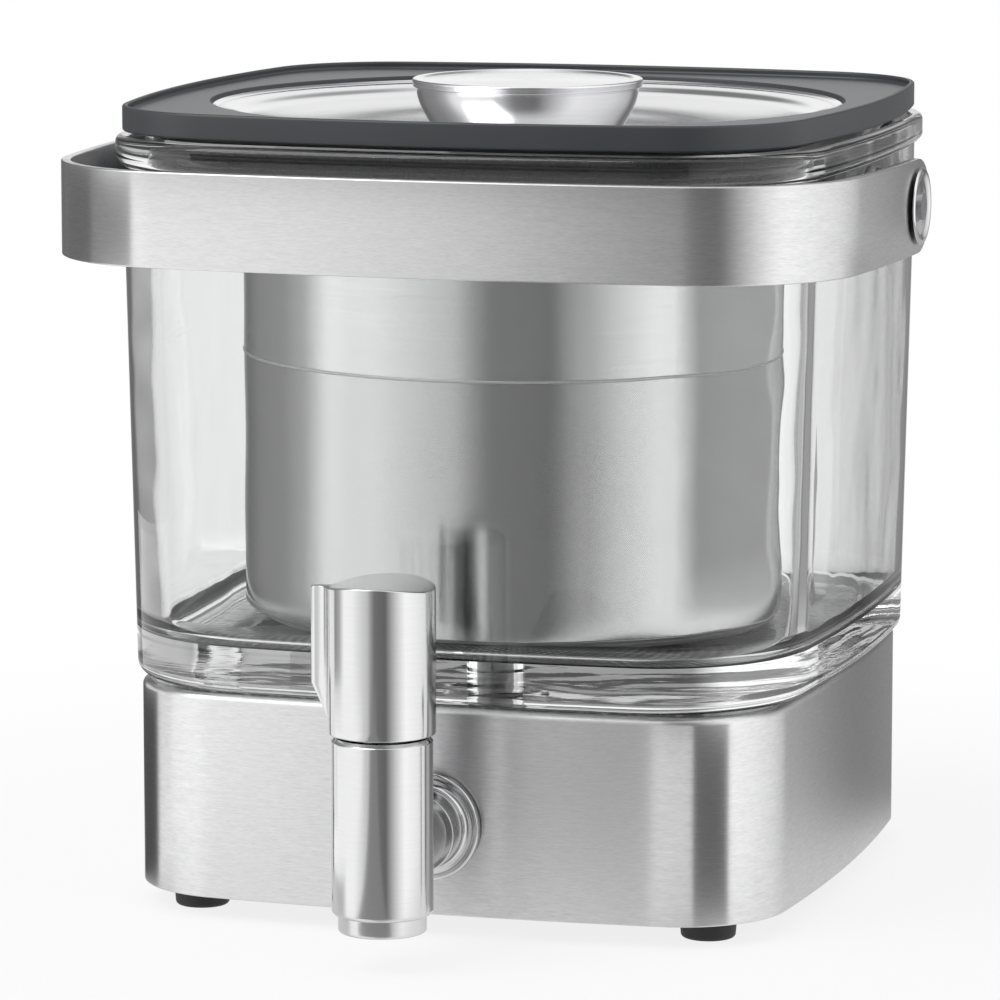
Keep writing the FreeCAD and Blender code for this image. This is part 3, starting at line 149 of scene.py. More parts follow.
# %% One method for nodes, and short names for the common ones
class Tree:
    """The node tree of one material or of the world."""

    def __init__(self, owner):
        owner.use_nodes = True
        self.nodes = owner.node_tree.nodes
        self.links = owner.node_tree.links
        self.nodes.clear()

    def node(self, kind, settings=None, inputs=None, out=0):
        made = self.nodes.new(kind)
        for name, value in (settings or {}).items():
            if name == "stops":
                self.set_stops(made.color_ramp, value)
            else:
                setattr(made, name, value)
        for name, value in (inputs or {}).items():
            if isinstance(value, Wire):
                self.links.new(value.socket, made.inputs[name])
            else:
                made.inputs[name].default_value = value
        return Wire(self, made.outputs[out]) if made.outputs else None

    def set_stops(self, ramp, stops):
        while len(ramp.elements) > 1:
            ramp.elements.remove(ramp.elements[-1])
        ramp.elements[0].position = stops[0][0]
        ramp.elements[0].color = colour(stops[0][1])
        for place, level in stops[1:]:
            ramp.elements.new(place).color = colour(level)

    def maths(self, operation, *values):
        return self.node("ShaderNodeMath", {"operation": operation}, dict(enumerate(values)))

    def axes(self, kind="Object"):
        """The three parts of a place on the surface, or of a direction in the world."""
        place = self.node("ShaderNodeTexCoord", {}, {}, kind)
        parts = self.node("ShaderNodeSeparateXYZ", {}, {"Vector": place}).socket.node
        return [Wire(self, parts.outputs[axis]) for axis in range(3)]

    def rays(self, *kinds):
        """What is known of the ray that meets the surface."""
        facts = self.node("ShaderNodeLightPath").socket.node.outputs
        return [Wire(self, facts[kind]) for kind in kinds]

    def noise(self, place, detail=2.0, fourth=None):
        """Soft noise from 0 to 1 at a place of three parts; a fourth gives it one more way."""
        vector = self.node("ShaderNodeCombineXYZ", {}, dict(enumerate(place)))
        inputs = {"Vector": vector, "Scale": 1.0, "Detail": detail}
        if fourth is None:
            return self.node("ShaderNodeTexNoise", {}, inputs)
        inputs["W"] = fourth
        return self.node("ShaderNodeTexNoise", {"noise_dimensions": "4D"}, inputs)

    def span(self, value, low, high, to_low, to_high):
        """The value moved from one span of numbers to another, and held at the ends."""
        inputs = {"Value": value, "From Min": low, "From Max": high}
        inputs.update({"To Min": to_low, "To Max": to_high})
        return self.node("ShaderNodeMapRange", {"clamp": True}, inputs)

    def bump(self, height, distance):
        return self.node("ShaderNodeBump", {}, {"Height": height, "Distance": distance})

    def mix(self, factor, first, second):
        """A colour between two colours."""
        inputs = {0: factor, 6: first, 7: second}
        return self.node("ShaderNodeMix", {"data_type": "RGBA"}, inputs, 2)

    def blend(self, factor, first, second):
        """A shader between two shaders."""
        return self.node("ShaderNodeMixShader", {}, {0: factor, 1: first, 2: second})

    def glow(self, level):
        """White light from the surface itself."""
        return self.node("ShaderNodeEmission", {}, {"Color": colour(1.0), "Strength": level})

    def open_air(self, tone=1.0):
        """A surface that rays pass as if it weren't there, tinted or not."""
        return self.node("ShaderNodeBsdfTransparent", {}, {"Color": colour(tone)})

    def finish(self, shader):
        self.node("ShaderNodeOutputMaterial", {}, {"Surface": shader})


def new_material(name):
    material = bpy.data.materials.new(name)
    print("finish:", name)
    return material, Tree(material)


def principled(name, recipe):
    """A material of Blender's general surface, whose sockets a recipe fills in."""
    material, tree = new_material(name)
    tree.finish(tree.node("ShaderNodeBsdfPrincipled", {}, recipe(tree)))
    return material


print("node helpers ready")

# %% [markdown]
# ## Outlines
# The jar, the base and the lid are squares with bowed sides. Such an outline could be a Bezier
# curve, but its sides are true arcs on the real pieces, and only true arcs stay parallel when the
# outline grows or shrinks by the thickness of a wall. A point is found by the direction in which
# the outline faces there, so that outlines of different size match point by point.

# %% Draw outlines
class Outline:
    """A square with bowed sides and round corners, seen from above, that can grow or shrink."""

    def __init__(self, half_x, half_y, bow, corner, side_steps=24, corner_steps=28):
        self.bow = bow
        self.corner = corner
        self.lean_x = bow - half_x
        self.lean_y = bow - half_y
        gap = math.hypot(self.lean_x, self.lean_y)
        rise = math.sqrt((bow - corner) ** 2 - (gap / 2) ** 2)
        self.corner_x = rise * self.lean_y / gap - self.lean_x / 2
        self.corner_y = rise * self.lean_x / gap - self.lean_y / 2
        self.first = math.atan2(self.corner_x, self.corner_y + self.lean_y)
        self.last = math.atan2(self.corner_x + self.lean_x, self.corner_y)
        quarter = np.concatenate([
            np.linspace(0, self.first, side_steps, endpoint=False),
            np.linspace(self.first, self.last, corner_steps, endpoint=False),
            np.linspace(self.last, math.pi / 2, side_steps, endpoint=False),
        ])
        back = math.pi - np.concatenate([[math.pi / 2], quarter[:0:-1]])
        half = np.concatenate([quarter, back])
        self.turns = np.concatenate([half, half + math.pi])

    def at(self, turns, grow):
        """Points whose outward direction is turned that far from the front, towards the right."""
        across = np.sin(turns)
        away = -np.cos(turns)
        fold = np.arctan2(abs(across), abs(away))
        bow = self.bow + grow
        corner = self.corner + grow
        x = np.sign(across) * self.corner_x + corner * across
        y = np.sign(away) * self.corner_y + corner * away
        front = fold <= self.first
        side = fold >= self.last
        x = np.where(front, bow * across, x)
        y = np.where(front, np.sign(away) * (bow * abs(away) - self.lean_y), y)
        x = np.where(side, np.sign(across) * (bow * abs(across) - self.lean_x), x)
        y = np.where(side, bow * away, y)
        return np.stack([x, y], axis=1)

    def ring(self, grow, height):
        return level_ring(self.at(self.turns, grow), height)

    def round_ring(self, radius, height):
        """A circle with as many points as the square, so that the two can be joined."""
        return circle(radius, height, self.turns)


def level_ring(flat, height):
    """Flat points, all lifted to one height."""
    return np.column_stack([flat, np.full(len(flat), height)])


TURN_STEPS = 192
FULL_TURN = np.linspace(0, 2 * math.pi, TURN_STEPS, endpoint=False)


def circle(radius, height, turns=FULL_TURN):
    """A ring round the axis, or a single point on it."""
    if radius == 0:
        return np.array([[0.0, 0.0, height]])
    return level_ring(np.stack([radius * np.sin(turns), -radius * np.cos(turns)], axis=1), height)


print("a full turn has", TURN_STEPS, "steps")

# %% [markdown]
# ## Profiles
# Most pieces here are one profile carried round one outline: turned, like the knob, or pressed,
# like the jar. A Bevel modifier could round their corners, but it can't take a radius of its own
# for each. So the profile gets true arcs, because an edge without a radius never catches light.
# Two rings lie close together where an arc meets a flat, so that the flat keeps its straight
# shading.

# %% Round a profile's corners
HOLD = 0.15 * MM
KEEN = 0.2 * MM
FINE = 0.3 * MM
EASED = 0.4 * MM
SOFT = 0.5 * MM


def rounded(corners, steps=6, longest=None):
    """A profile through (reach, height, radius) corners, with an arc at each radius."""
    points = [np.array(corner[:2], float) for corner in corners]
    path = [points[0]]
    for before, here, after, corner in zip(points, points[1:], points[2:], corners[1:]):
        if corner[2] == 0:
            path.append(here)
            continue
        back = (before - here) / np.linalg.norm(before - here)
        on = (after - here) / np.linalg.norm(after - here)
        half = math.acos(max(-1.0, min(1.0, float(back @ on)))) / 2
        cut = corner[2] / math.tan(half)
        middle = here + (back + on) / np.linalg.norm(back + on) * corner[2] / math.sin(half)
        start = here + back * cut - middle
        end = here + on * cut - middle
        whole = math.pi - half * 2
        path.append(here + back * (cut + HOLD))
        for share in np.linspace(0, 1, steps + 1):
            near = math.sin((1 - share) * whole) / math.sin(whole)
            far = math.sin(share * whole) / math.sin(whole)
            path.append(middle + start * near + end * far)
        path.append(here + on * (cut + HOLD))
    path.append(points[-1])
    return path if longest is None else finer(path, longest)


def finer(path, longest):
    """The same profile with extra points, so that no stretch is longer than that."""
    fine = [path[0]]
    for start, end in zip(path, path[1:]):
        pieces = max(1, math.ceil(np.linalg.norm(end - start) / longest))
        fine += [start + (end - start) * step / pieces for step in range(1, pieces + 1)]
    return fine


def closed(corners, steps=4):
    """A rounded profile that ends where it starts, without the repeated point."""
    return rounded(corners, steps)[:-1]


print("edge radii from", KEEN / MM, "to", SOFT / MM, "mm are shared")

# %% [markdown]
# ## From rings to a piece
# A skin of faces through rings is what the Screw modifier or a loft would make. Written out, it
# also joins a square ring to a round one, and it closes an end to a point. Every new piece then
# rides on a body of the mechanical model and names the pieces that it stands for, so that a joint
# can carry it.

# %% Skin the rings and add a piece
SHARP = math.radians(38)


def between(first, last, steps):
    """Evenly spaced rings between two rings, without the two themselves."""
    return [first + (last - first) * step / steps for step in range(1, steps)]


def skin(rings, loop=False):
    """Points and faces of a surface through rings; a ring of one point closes an end."""
    points = np.concatenate(rings)
    starts = np.cumsum([0] + [len(ring) for ring in rings])
    order = list(range(len(rings))) + ([0] if loop else [])
    faces = []
    for low, high in zip(order, order[1:]):
        a, b = int(starts[low]), int(starts[high])
        count = max(len(rings[low]), len(rings[high]))
        for step in range(count):
            after = (step + 1) % count
            if len(rings[low]) == 1:
                faces.append((a, b + after, b + step))
            elif len(rings[high]) == 1:
                faces.append((a + step, a + after, b))
            else:
                faces.append((a + step, a + after, b + after, b + step))
    return points, faces


def turned(profile, loop=True, turns=FULL_TURN):
    """The skin of a turned piece from (radius, height) points."""
    return skin([circle(radius, height, turns) for radius, height in profile], loop)


def new_object(name, shape, dressing):
    """An object with a mesh of its own, linked to the scene."""
    points, faces = shape
    mesh = bpy.data.meshes.new(name)
    mesh.from_pydata([tuple(point) for point in points], [], faces)
    mesh.materials.append(dressing)
    made = bpy.data.objects.new(name, mesh)
    scene.collection.objects.link(made)
    return made


def add_piece(name, shape, dressing, body, stands_for, place=(0, 0, 0), turn=(0, 0, 0)):
    """A new piece that rides on a body and stands for one or more pieces of the frame."""
    piece = new_object(name, shape, dressing)
    mesh = piece.data
    work = bmesh.new()
    work.from_mesh(mesh)
    bmesh.ops.recalc_face_normals(work, faces=work.faces)
    work.to_mesh(mesh)
    work.free()
    mesh.shade_smooth()
    mesh.set_sharp_from_angle(angle=SHARP)
    piece.location = place
    piece.rotation_euler = turn
    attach(piece, body)
    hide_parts(*stands_for)
    print(f"{name}: {len(mesh.polygons)} faces on {body}")
    return piece


print("edges turn sharp at", round(math.degrees(SHARP)), "degrees")

# %% [markdown]
# ## Levels that the frame gives
# The jar, the lid and the steeper share one upright axis, and the tap has its own in front. Both
# are read from the frame, as are the levels at which one piece meets the next.

# %% Read places from the frame
jar_low, jar_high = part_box("glass_jar")
pan_low, pan_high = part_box("base_shell")
tap_low, tap_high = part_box("tap_body")
lid_low, lid_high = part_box("lid_frame")
AXIS = Vector((0, (pan_low.y + pan_high.y) / 2, 0))
TAP_AXIS = Vector((0, tap_low.y + tap_high.x, 0))
print("axis of the jar:", round(AXIS.y, 5), " axis of the tap:", round(TAP_AXIS.y, 5))

# %% [markdown]
# ## Brushed and turned steel
# Brushed steel carries thousands of fine parallel scratches. They spread a highlight across the
# scratches and keep it narrow along them, and that is why a brushed wall shows upright bands of
# light with clear edges. One way is a real bump for each scratch, but at this size it would only
# flicker. So the shader's own anisotropy does the spreading, and long thin noise does the streaks
# that the eye can make out. A turned piece has its scratches round its axis.

# %% Make the steels
STEEL_TONE = (0.63, 0.63, 0.635)
POLISHED_TONE = (0.74, 0.74, 0.75)
STRAP_TONE = (0.40, 0.40, 0.41)
HARDWARE_TONE = (0.55, 0.55, 0.56)
SEAM_HIGHLIGHT_TONE = (0.80, 0.80, 0.805)
ACROSS_SCRATCHES = 0.25
NOISE_LOW = 0.3
NOISE_HIGH = 0.7
FINE_SHARE = 0.65
DULL_SWING = 0.12
BROAD_LENGTH = 3
BROAD_WIDTH = 4
TURNED_LENGTHS = 2
SHALLOW = 0.0005 * MM


def streaks(tree, length, width, turned_face, detail=3.0):
    """Noise from 0 to 1 that is long along the scratches and thin across them."""
    x, y, z = tree.axes()
    if not turned_face:
        return tree.noise((x / length, y / length, z / width), detail)
    radius = from_axis(x, y) + MM
    x, y = [part / radius * TURNED_LENGTHS for part in (x, y)]
    return tree.noise((x, y, z / width), detail, radius / width)


def steel(name, tone, roughness, stretch, length=2.2 * MM, width=0.2 * MM, turned_face=False,
          contrast=0.12, depth=0.002 * MM):
    """Metal with a brushed grain: level streaks on a wall, rings on a turned face."""
    dark = colour([part * (1 - contrast) for part in tone])
    light = colour([min(1.0, part * (1 + contrast)) for part in tone])
    rough = roughness * (1 + DULL_SWING)
    smooth = roughness * (1 - DULL_SWING)

    def recipe(tree):
        fine = streaks(tree, length, width, turned_face)
        broad = streaks(tree, length * BROAD_LENGTH, width * BROAD_WIDTH, turned_face, detail=2.0)
        grain = fine * FINE_SHARE + broad * (1 - FINE_SHARE)
        return {
            "Base Color": tree.mix(tree.span(grain, NOISE_LOW, NOISE_HIGH, 0.0, 1.0), dark, light),
            "Metallic": 1.0,
            "Roughness": tree.span(grain, NOISE_LOW, NOISE_HIGH, rough, smooth),
            "Anisotropic": stretch,
            "Anisotropic Rotation": ACROSS_SCRATCHES,
            "Normal": tree.bump(fine, depth),
        }

    return principled(name, recipe)


brushed_steel = steel("brushed_steel", STEEL_TONE, roughness=0.31, stretch=0.85)
turned_steel = steel("turned_steel", STEEL_TONE, roughness=0.14, stretch=0.5, width=0.12 * MM,
                     turned_face=True, contrast=0.03, depth=SHALLOW)
knob_steel = steel("knob_steel", POLISHED_TONE, roughness=0.20, stretch=0.5, width=0.3 * MM,
                   turned_face=True, contrast=0.05, depth=SHALLOW)
steeper_steel = steel("steeper_steel", STEEL_TONE, roughness=0.13, stretch=0.5,
                      turned_face=True, contrast=0.05, depth=SHALLOW)
polished_steel = steel("polished_steel", POLISHED_TONE, roughness=0.09, stretch=0.3,
                       width=0.5 * MM, turned_face=True, contrast=0.02, depth=SHALLOW * 2)
# Painted highlight: the weld bead's tone is lighter than the wall, so that it shows as a light line.
seam_highlight_steel = steel("seam_highlight_steel", SEAM_HIGHLIGHT_TONE, roughness=0.55, stretch=0.2, turned_face=True,
                   contrast=0.03)
strap_steel = steel("strap_steel", STRAP_TONE, roughness=0.42, stretch=0.6)
hardware_steel = steel("hardware_steel", HARDWARE_TONE, roughness=0.35, stretch=0.3,
                       length=6 * MM, contrast=0.08)

# %% [markdown]
# ## Steel mesh
# The lower steeper is a sieve so fine that its wires are thinner than a hair. Modelled wires
# would need millions of faces, so a pattern of crossing waves in colour, roughness and bump
# stands for them on a thin sheet. The inner face of the sheet is duller than the outer one. Light
# inside a deep cup is mirrored over and over, and on a smooth wall that would end in black specks.

# %% Make the mesh finish
WIRE_PITCH = 0.5 * MM
SIEVE_RADIUS = 84 * MM
GAP_TONE = 0.44
WIRE_TONE = 0.74
GAP_DULL = 0.16
WIRE_DULL = 0.11
WAVE_LOW = -0.6
WAVE_HIGH = 0.9
MESH_STRETCH = 0.4
MESH_BUMP = 0.001 * MM
INNER_DULL = 0.4
INNER_REACH = 83.8 * MM
OUTER_REACH = 84.1 * MM


def woven_mesh(tree):
    x, y, z = tree.axes()
    around = tree.maths("ARCTAN2", x, y) * SIEVE_RADIUS
    turn = 2 * math.pi / WIRE_PITCH
    crossing = tree.maths("SINE", around * turn) * tree.maths("SINE", z * turn)
    wire = tree.span(crossing, WAVE_LOW, WAVE_HIGH, 0.0, 1.0)
    inner = tree.span(from_axis(x, y), INNER_REACH, OUTER_REACH, INNER_DULL, 0.0)
    return {
        "Base Color": tree.mix(wire, colour(GAP_TONE), colour(WIRE_TONE)),
        "Metallic": 1.0,
        "Roughness": tree.span(wire, 0.0, 1.0, GAP_DULL, WIRE_DULL) + inner,
        "Anisotropic": MESH_STRETCH,
        "Anisotropic Rotation": ACROSS_SCRATCHES,
        "Normal": tree.bump(wire, MESH_BUMP),
    }


mesh_steel = principled("steel_mesh", woven_mesh)
print("one wire each", round(WIRE_PITCH / MM, 2), "mm")

# %% [markdown]
# ## Pressed glass
# Pressed glass is clear but never quite flat: the mould leaves slow waves that bend what lies
# behind. The walls get such waves in their shape, a faint bump adds finer ones, and the underside
# has the grain of the mould. The general surface with full transmission does all that, but three
# liberties are taken. Rays from lamps go straight through, because a path tracer would otherwise
# leave the inside dark. A ray that is mirrored a third time inside a thick wall would go on until
# it is given up as black, so it is let out with a grey tint instead. And the top of the floor
# mirrors less than it should from above, so that the mat below it can be seen at a low angle.

# %% Make the glass
GLASS_TONE = (0.985, 0.99, 0.988)
GLASS_INDEX = 1.5
WAVES_ACROSS = 45
WAVES_UPWARD = 30
GRAINS = 260
GRAIN_UNDER = 0.45
GRAIN_START = 1 * MM
GRAIN_END = 3 * MM
GLASS_BUMP = 0.12 * MM
JAR_FLOOR = 12.6 * MM
DIP_LOW = -0.6 * MM
DIP_HIGH = -0.5 * MM
SWELL_LOW = 0.3 * MM
SWELL_HIGH = 0.5 * MM
FLOOR_CALM = 0.9
TRAPPED_AFTER = 2.5
TRAPPED_TONE = 0.58


def glass_bump(tree, x, y, z):
    """Slow waves all over, and a grain on the underside."""
    slow = tree.noise((x * WAVES_ACROSS, y * WAVES_ACROSS, z * WAVES_UPWARD), detail=1.0)
    grainy = tree.noise((x * GRAINS, y * GRAINS, z * GRAINS), detail=3.0)
    low_down = tree.span(z, jar_low.z + GRAIN_START, jar_low.z + GRAIN_END, GRAIN_UNDER, 0.0)
    return tree.bump(slow + grainy * low_down, GLASS_BUMP)


def top_of_floor(tree, z):
    """1 on the upper side of the jar's floor, met from the air."""
    level = jar_low.z + JAR_FLOOR
    above = tree.span(z, level + DIP_LOW, level + DIP_HIGH, 0.0, 1.0)
    below = tree.span(z, level + SWELL_LOW, level + SWELL_HIGH, 1.0, 0.0)
    from_inside = tree.node("ShaderNodeNewGeometry", {}, {}, "Backfacing")
    return above * below * (1.0 - from_inside)


def pressed_glass():
    material, tree = new_material("glass_clear")
    x, y, z = tree.axes()
    normal = glass_bump(tree, x, y, z)
    inputs = {"Roughness": 0.0, "IOR": GLASS_INDEX, "Normal": normal}
    full = {"Base Color": colour(GLASS_TONE), "Transmission Weight": 1.0, **inputs}
    glass = tree.node("ShaderNodeBsdfPrincipled", {}, full)
    bending = {"Color": colour(GLASS_TONE), **inputs}
    mirrorless = tree.node("ShaderNodeBsdfRefraction", {}, bending)
    glass = tree.blend(top_of_floor(tree, z) * FLOOR_CALM, glass, mirrorless)
    lamp_ray, mirrors = tree.rays("Is Shadow Ray", "Glossy Depth")
    trapped = tree.maths("GREATER_THAN", mirrors, TRAPPED_AFTER)
    glass = tree.blend(trapped, glass, tree.open_air(TRAPPED_TONE))
    tree.finish(tree.blend(lamp_ray, glass, tree.open_air(GLASS_TONE)))
    return material


glass_clear = pressed_glass()
print("glass with index", GLASS_INDEX)

# %% [markdown]
# ## Plastics and rubbers
# The lid is a slate-grey plastic with a satin surface, which a fine spark-eroded grain in the
# mould gives it. The feet and the seal are softer and darker, and the seal is painted near black
# as the shade inside the jar's neck. They share one recipe: a fine grain that drives roughness
# and bump, and slow cloudy changes in colour that keep a flat face alive.

# %% Make the plastics
GRAPHITE_TONE = (0.041, 0.044, 0.050)
DARK_TONE = (0.03, 0.03, 0.032)
RUBBER_TONE = (0.018, 0.018, 0.019)
SEAL_SHADE_TONE = (0.012, 0.012, 0.013)
CLOUDS = 30
CLOUD_SWING = 0.1
GRAIN_SWING = 0.05


def moulded(name, tone, roughness, grain=0.3 * MM, depth=0.01 * MM):
    """Plastic or rubber with a fine grain and slow clouds of colour."""
    dark = colour([part * (1 - CLOUD_SWING) for part in tone])
    light = colour([part * (1 + CLOUD_SWING) for part in tone])
    smooth = roughness - GRAIN_SWING
    rough = roughness + GRAIN_SWING

    def recipe(tree):
        x, y, z = tree.axes()
        speck = tree.noise((x / grain, y / grain, z / grain))
        return {
            "Base Color": tree.mix(tree.noise((x * CLOUDS, y * CLOUDS, z * CLOUDS)), dark, light),
            "Roughness": tree.span(speck, NOISE_LOW, NOISE_HIGH, smooth, rough),
            "Normal": tree.bump(speck, depth),
        }

    return principled(name, recipe)


graphite = moulded("plastic_graphite", GRAPHITE_TONE, roughness=0.40)
base_plastic = moulded("plastic_base", DARK_TONE, roughness=0.5)
black_rubber = moulded("rubber_black", RUBBER_TONE, roughness=0.6, grain=0.5 * MM,
                       depth=0.02 * MM)
smoke_silicone = moulded("silicone_smoke", DARK_TONE, roughness=0.45)
# Painted shade: the seal's tone is darker than the other silicone, for the shade inside the neck.
shaded_seal_silicone = moulded("silicone_seal_shaded", SEAL_SHADE_TONE, roughness=0.3)

# %% [markdown]
# ## Finishes for the pieces that keep their mechanical shape
# Screws, nuts, pipes and the inner frame are mostly hidden, and their shapes are right as they
# are. They only need the finish that their slot in the record names. Three of them are seen
# through glass and get one of their own: the bolt and the washer of the drain are dull, so that
# they don't sparkle in the floor, and the lid's plug is painted near black, darker than the lid,
# as the shade inside the jar's neck.

# %% Dress the frame's own pieces
BOLT_TONE = (0.34, 0.34, 0.345)
WASHER_TONE = (0.25, 0.25, 0.255)
PLUG_SHADE_TONE = (0.010, 0.010, 0.011)
SLOT_FINISH = {
    "steel_brushed": brushed_steel,
    "steel_polished": polished_steel,
    "steel_mesh": mesh_steel,
    "steel_strap": strap_steel,
    "steel_hardware": hardware_steel,
    "glass_clear": glass_clear,
    "plastic_graphite": graphite,
    "plastic_base": base_plastic,
    "rubber_black": black_rubber,
    "silicone_smoke": smoke_silicone,
}
OWN_FINISH = {
    "drain_bolt": steel("dull_steel", BOLT_TONE, roughness=0.5, stretch=0.3),
    "drain_washer": moulded("silicone_pale", WASHER_TONE, roughness=0.4),
    # Painted shade: the plug is the lid's plastic, painted near black for the shade inside the neck.
    "lid_plug": moulded("plastic_painted_shade", PLUG_SHADE_TONE, roughness=0.35),
}
for part in frame["record"]["subparts"]:
    node = frame["nodes"][part["node"]]
    node.data.materials.clear()
    node.data.materials.append(OWN_FINISH.get(part["node"], SLOT_FINISH[part["material_slot"]]))

# %% [markdown]
# ## The jar
# The jar is one closed skin of glass: a thick floor with a drain well, walls that widen upwards,
# a straight neck and a round bead. It could be a thin shell with a Solidify modifier, but thick
# glass bends light by its true inner and outer faces, so both are drawn.

# %% Draw the jar's faces
JAR_BOW = 743 * MM
JAR_CORNER = 45.5 * MM
JAR_DRAFT = 2.9 * MM
JAR_WALL = 6.5 * MM
NECK_HEIGHT = 19.5 * MM
NECK_BEND = 60 * MM
HEEL_ROUND = 4 * MM
FLOOR_ROUND = 7 * MM
MOUTH_ROUND = 1.4 * MM
BEAD_HALF = 109.6 * MM
BEAD_HEIGHT = 8.5 * MM
BEAD_STAND = 2.5 * MM
BEAD_ROUND = 2.4 * MM
BEAD_UNDER = 0.9 * MM
WELL_DEPTH = 4.2 * MM
WELL_RADIUS = 15.0 * MM
DRAIN_HOLE = 8.3 * MM
FLOOR_RINGS = 26
UNDER_RINGS = 28
# On a level face the square rings go this far in, and round ones take over from there.
FLAT = 30 * MM

jar_base = jar_low.z
jar_top = jar_high.z
bead_low = jar_top - BEAD_HEIGHT
neck_low = bead_low - NECK_HEIGHT
floor_top = jar_base + JAR_FLOOR
foot_half = BEAD_HALF - BEAD_STAND - JAR_DRAFT
jar_outline = Outline(foot_half, foot_half, JAR_BOW, JAR_CORNER)
flare = JAR_DRAFT * (neck_low - floor_top) / (neck_low - jar_base)
inside = JAR_DRAFT - JAR_WALL
bead = JAR_DRAFT + BEAD_STAND
jar_profile = rounded([
    (-FLAT, jar_base, 0),
    (0, jar_base, HEEL_ROUND),
    (JAR_DRAFT, neck_low, NECK_BEND),
    (JAR_DRAFT, bead_low, BEAD_UNDER),
    (bead, bead_low, BEAD_ROUND),
    (bead, jar_top, BEAD_ROUND),
    (inside, jar_top, MOUTH_ROUND),
    (inside, neck_low, NECK_BEND),
    (inside - flare, floor_top, FLOOR_ROUND),
    (-FLAT, floor_top, 0),
], steps=8, longest=3 * MM)
jar_rings = [jar_outline.ring(grow, level) for grow, level in jar_profile]
well_edge = jar_outline.round_ring(WELL_RADIUS, floor_top)
hole_edge = jar_outline.round_ring(DRAIN_HOLE, jar_base)
inner_floor = [jar_rings[-1]] + between(jar_rings[-1], well_edge, FLOOR_RINGS)
under_floor = between(hole_edge, jar_rings[0], UNDER_RINGS) + [jar_rings[0]]
print("jar:", len(jar_rings), "rings of wall,", FLOOR_RINGS + UNDER_RINGS, "of floor")

# %% [markdown]
# ## The waves of the mould
# The outer face of the jar touches a polished mould, but the inner one is only pushed by the
# plunger, so it keeps slow waves. They are a noise that moves the inner wall by a tenth of a
# millimetre. In the corners, where the glass is thick, short ripples are added, and they break
# what stands behind into streaks. A Displace modifier could do it, but the points are at hand
# here, and the outer face has to stay where it is.

# %% Press the waves into the jar
WAVE_DEPTH = 0.10 * MM
WAVES_ROUND = 62.0
WAVES_UP = 34.0
CORNER_WAVE_DEPTH = 0.9 * MM
CALM_WAVE_DEPTH = 0.35 * MM
RIPPLES_ROUND = 75.0
RIPPLES_UP = 92.0
CORNER_POWER = 6
FLOOR_WAVE = 0.10 * MM
UNDER_WAVE = 0.35 * MM
FLOOR_WAVES = 70.0


def wave_at(x, y, z):
    """How far outwards the inner wall moves at a point."""
    wave = noise.noise(Vector((x * WAVES_ROUND, y * WAVES_ROUND, z * WAVES_UP)))
    ripple = noise.noise(Vector((x * RIPPLES_ROUND, y * RIPPLES_ROUND, z * RIPPLES_UP)))
    cornered = min(abs(x), abs(y)) / foot_half
    strength = CORNER_WAVE_DEPTH if x > 0 else CALM_WAVE_DEPTH
    return wave * WAVE_DEPTH + ripple * strength * cornered ** CORNER_POWER


def ruffle(rings, depth, lift):
    """Slow waves in a level face. The lift keeps an underside from sinking below its foot."""
    for ring in rings:
        for point in ring:
            point[2] += lift + depth * noise.noise(Vector(point) * FLOOR_WAVES)


for ring, (grow, level) in zip(jar_rings, jar_profile):
    if grow <= inside + MM and level >= floor_top + MM:
        for point in ring:
            point[:2] *= 1 + wave_at(*point) / foot_half
ruffle(inner_floor, FLOOR_WAVE, 0)
ruffle(under_floor, UNDER_WAVE, UNDER_WAVE)
jar_rings += inner_floor[1:] + [
    well_edge,
    jar_outline.round_ring(WELL_RADIUS, floor_top - WELL_DEPTH),
    jar_outline.round_ring(DRAIN_HOLE, floor_top - WELL_DEPTH),
    hole_edge,
] + under_floor[:-1]
add_piece("jar", skin(jar_rings, True), glass_clear, "stand", ["glass_jar"], AXIS)

# %% [markdown]
# ## The base pan and its feet
# The base is drawn from one sheet of steel, upside down like a baking tin, so its top edge has
# the radius of the draw and its lower edge is only cut. The feet are turned rubber studs, each
# with a recess for its screw. A bevelled box would do from afar, but the band of light along the
# top edge needs the real radius.

# %% Draw the pan and turn the feet
PAN_BOW = 826 * MM
PAN_CORNER = 32.5 * MM
SHEET = 1.2 * MM
PAN_EDGE = 2.0 * MM
FOOT_RECESS = 4.2 * MM
FOOT_WEB_LEVEL = 4.1 * MM
FOOT_SCREW = 1.75 * MM
FOOT_TAPER = 0.6 * MM
FOOT_ROUND = 1.2 * MM

pan_half = pan_high.x
pan_outline = Outline(pan_half, pan_half, PAN_BOW, PAN_CORNER)
pan_top = pan_high.z
pan_foot = pan_low.z
pan_outside = rounded([
    (-SHEET, pan_foot, 0),
    (0, pan_foot, EASED),
    (0, pan_top, PAN_EDGE),
    (-FLAT, pan_top, 0),
])
pan_inside = rounded([
    (-FLAT, pan_top - SHEET, 0),
    (-SHEET, pan_top - SHEET, PAN_EDGE - SHEET),
    (-SHEET, pan_foot + SHEET, 0),
])
pan_rings = [pan_outline.ring(grow, level) for grow, level in pan_outside]
pan_rings += [pan_outline.round_ring(DRAIN_HOLE, pan_top - drop) for drop in (0, SHEET)]
pan_rings += [pan_outline.ring(grow, level) for grow, level in pan_inside]
add_piece("base_pan", skin(pan_rings, True), brushed_steel, "stand",
          ["base_shell"], AXIS)
for corner in ("front_left", "front_right", "rear_left", "rear_right"):
    low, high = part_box(f"foot_{corner}")
    radius = (high.x - low.x) / 2
    foot_profile = rounded([
        (FOOT_RECESS, FOOT_WEB_LEVEL, 0),
        (FOOT_RECESS, 0, FINE),
        (radius - FOOT_TAPER, 0, FOOT_ROUND),
        (radius, high.z, FINE),
        (FOOT_SCREW, high.z, 0),
    ])
    middle = (low + high) / 2
    add_piece(f"rubber_foot_{corner}", turned(foot_profile), black_rubber, "stand",
              [f"foot_{corner}"], (middle.x, middle.y, 0))
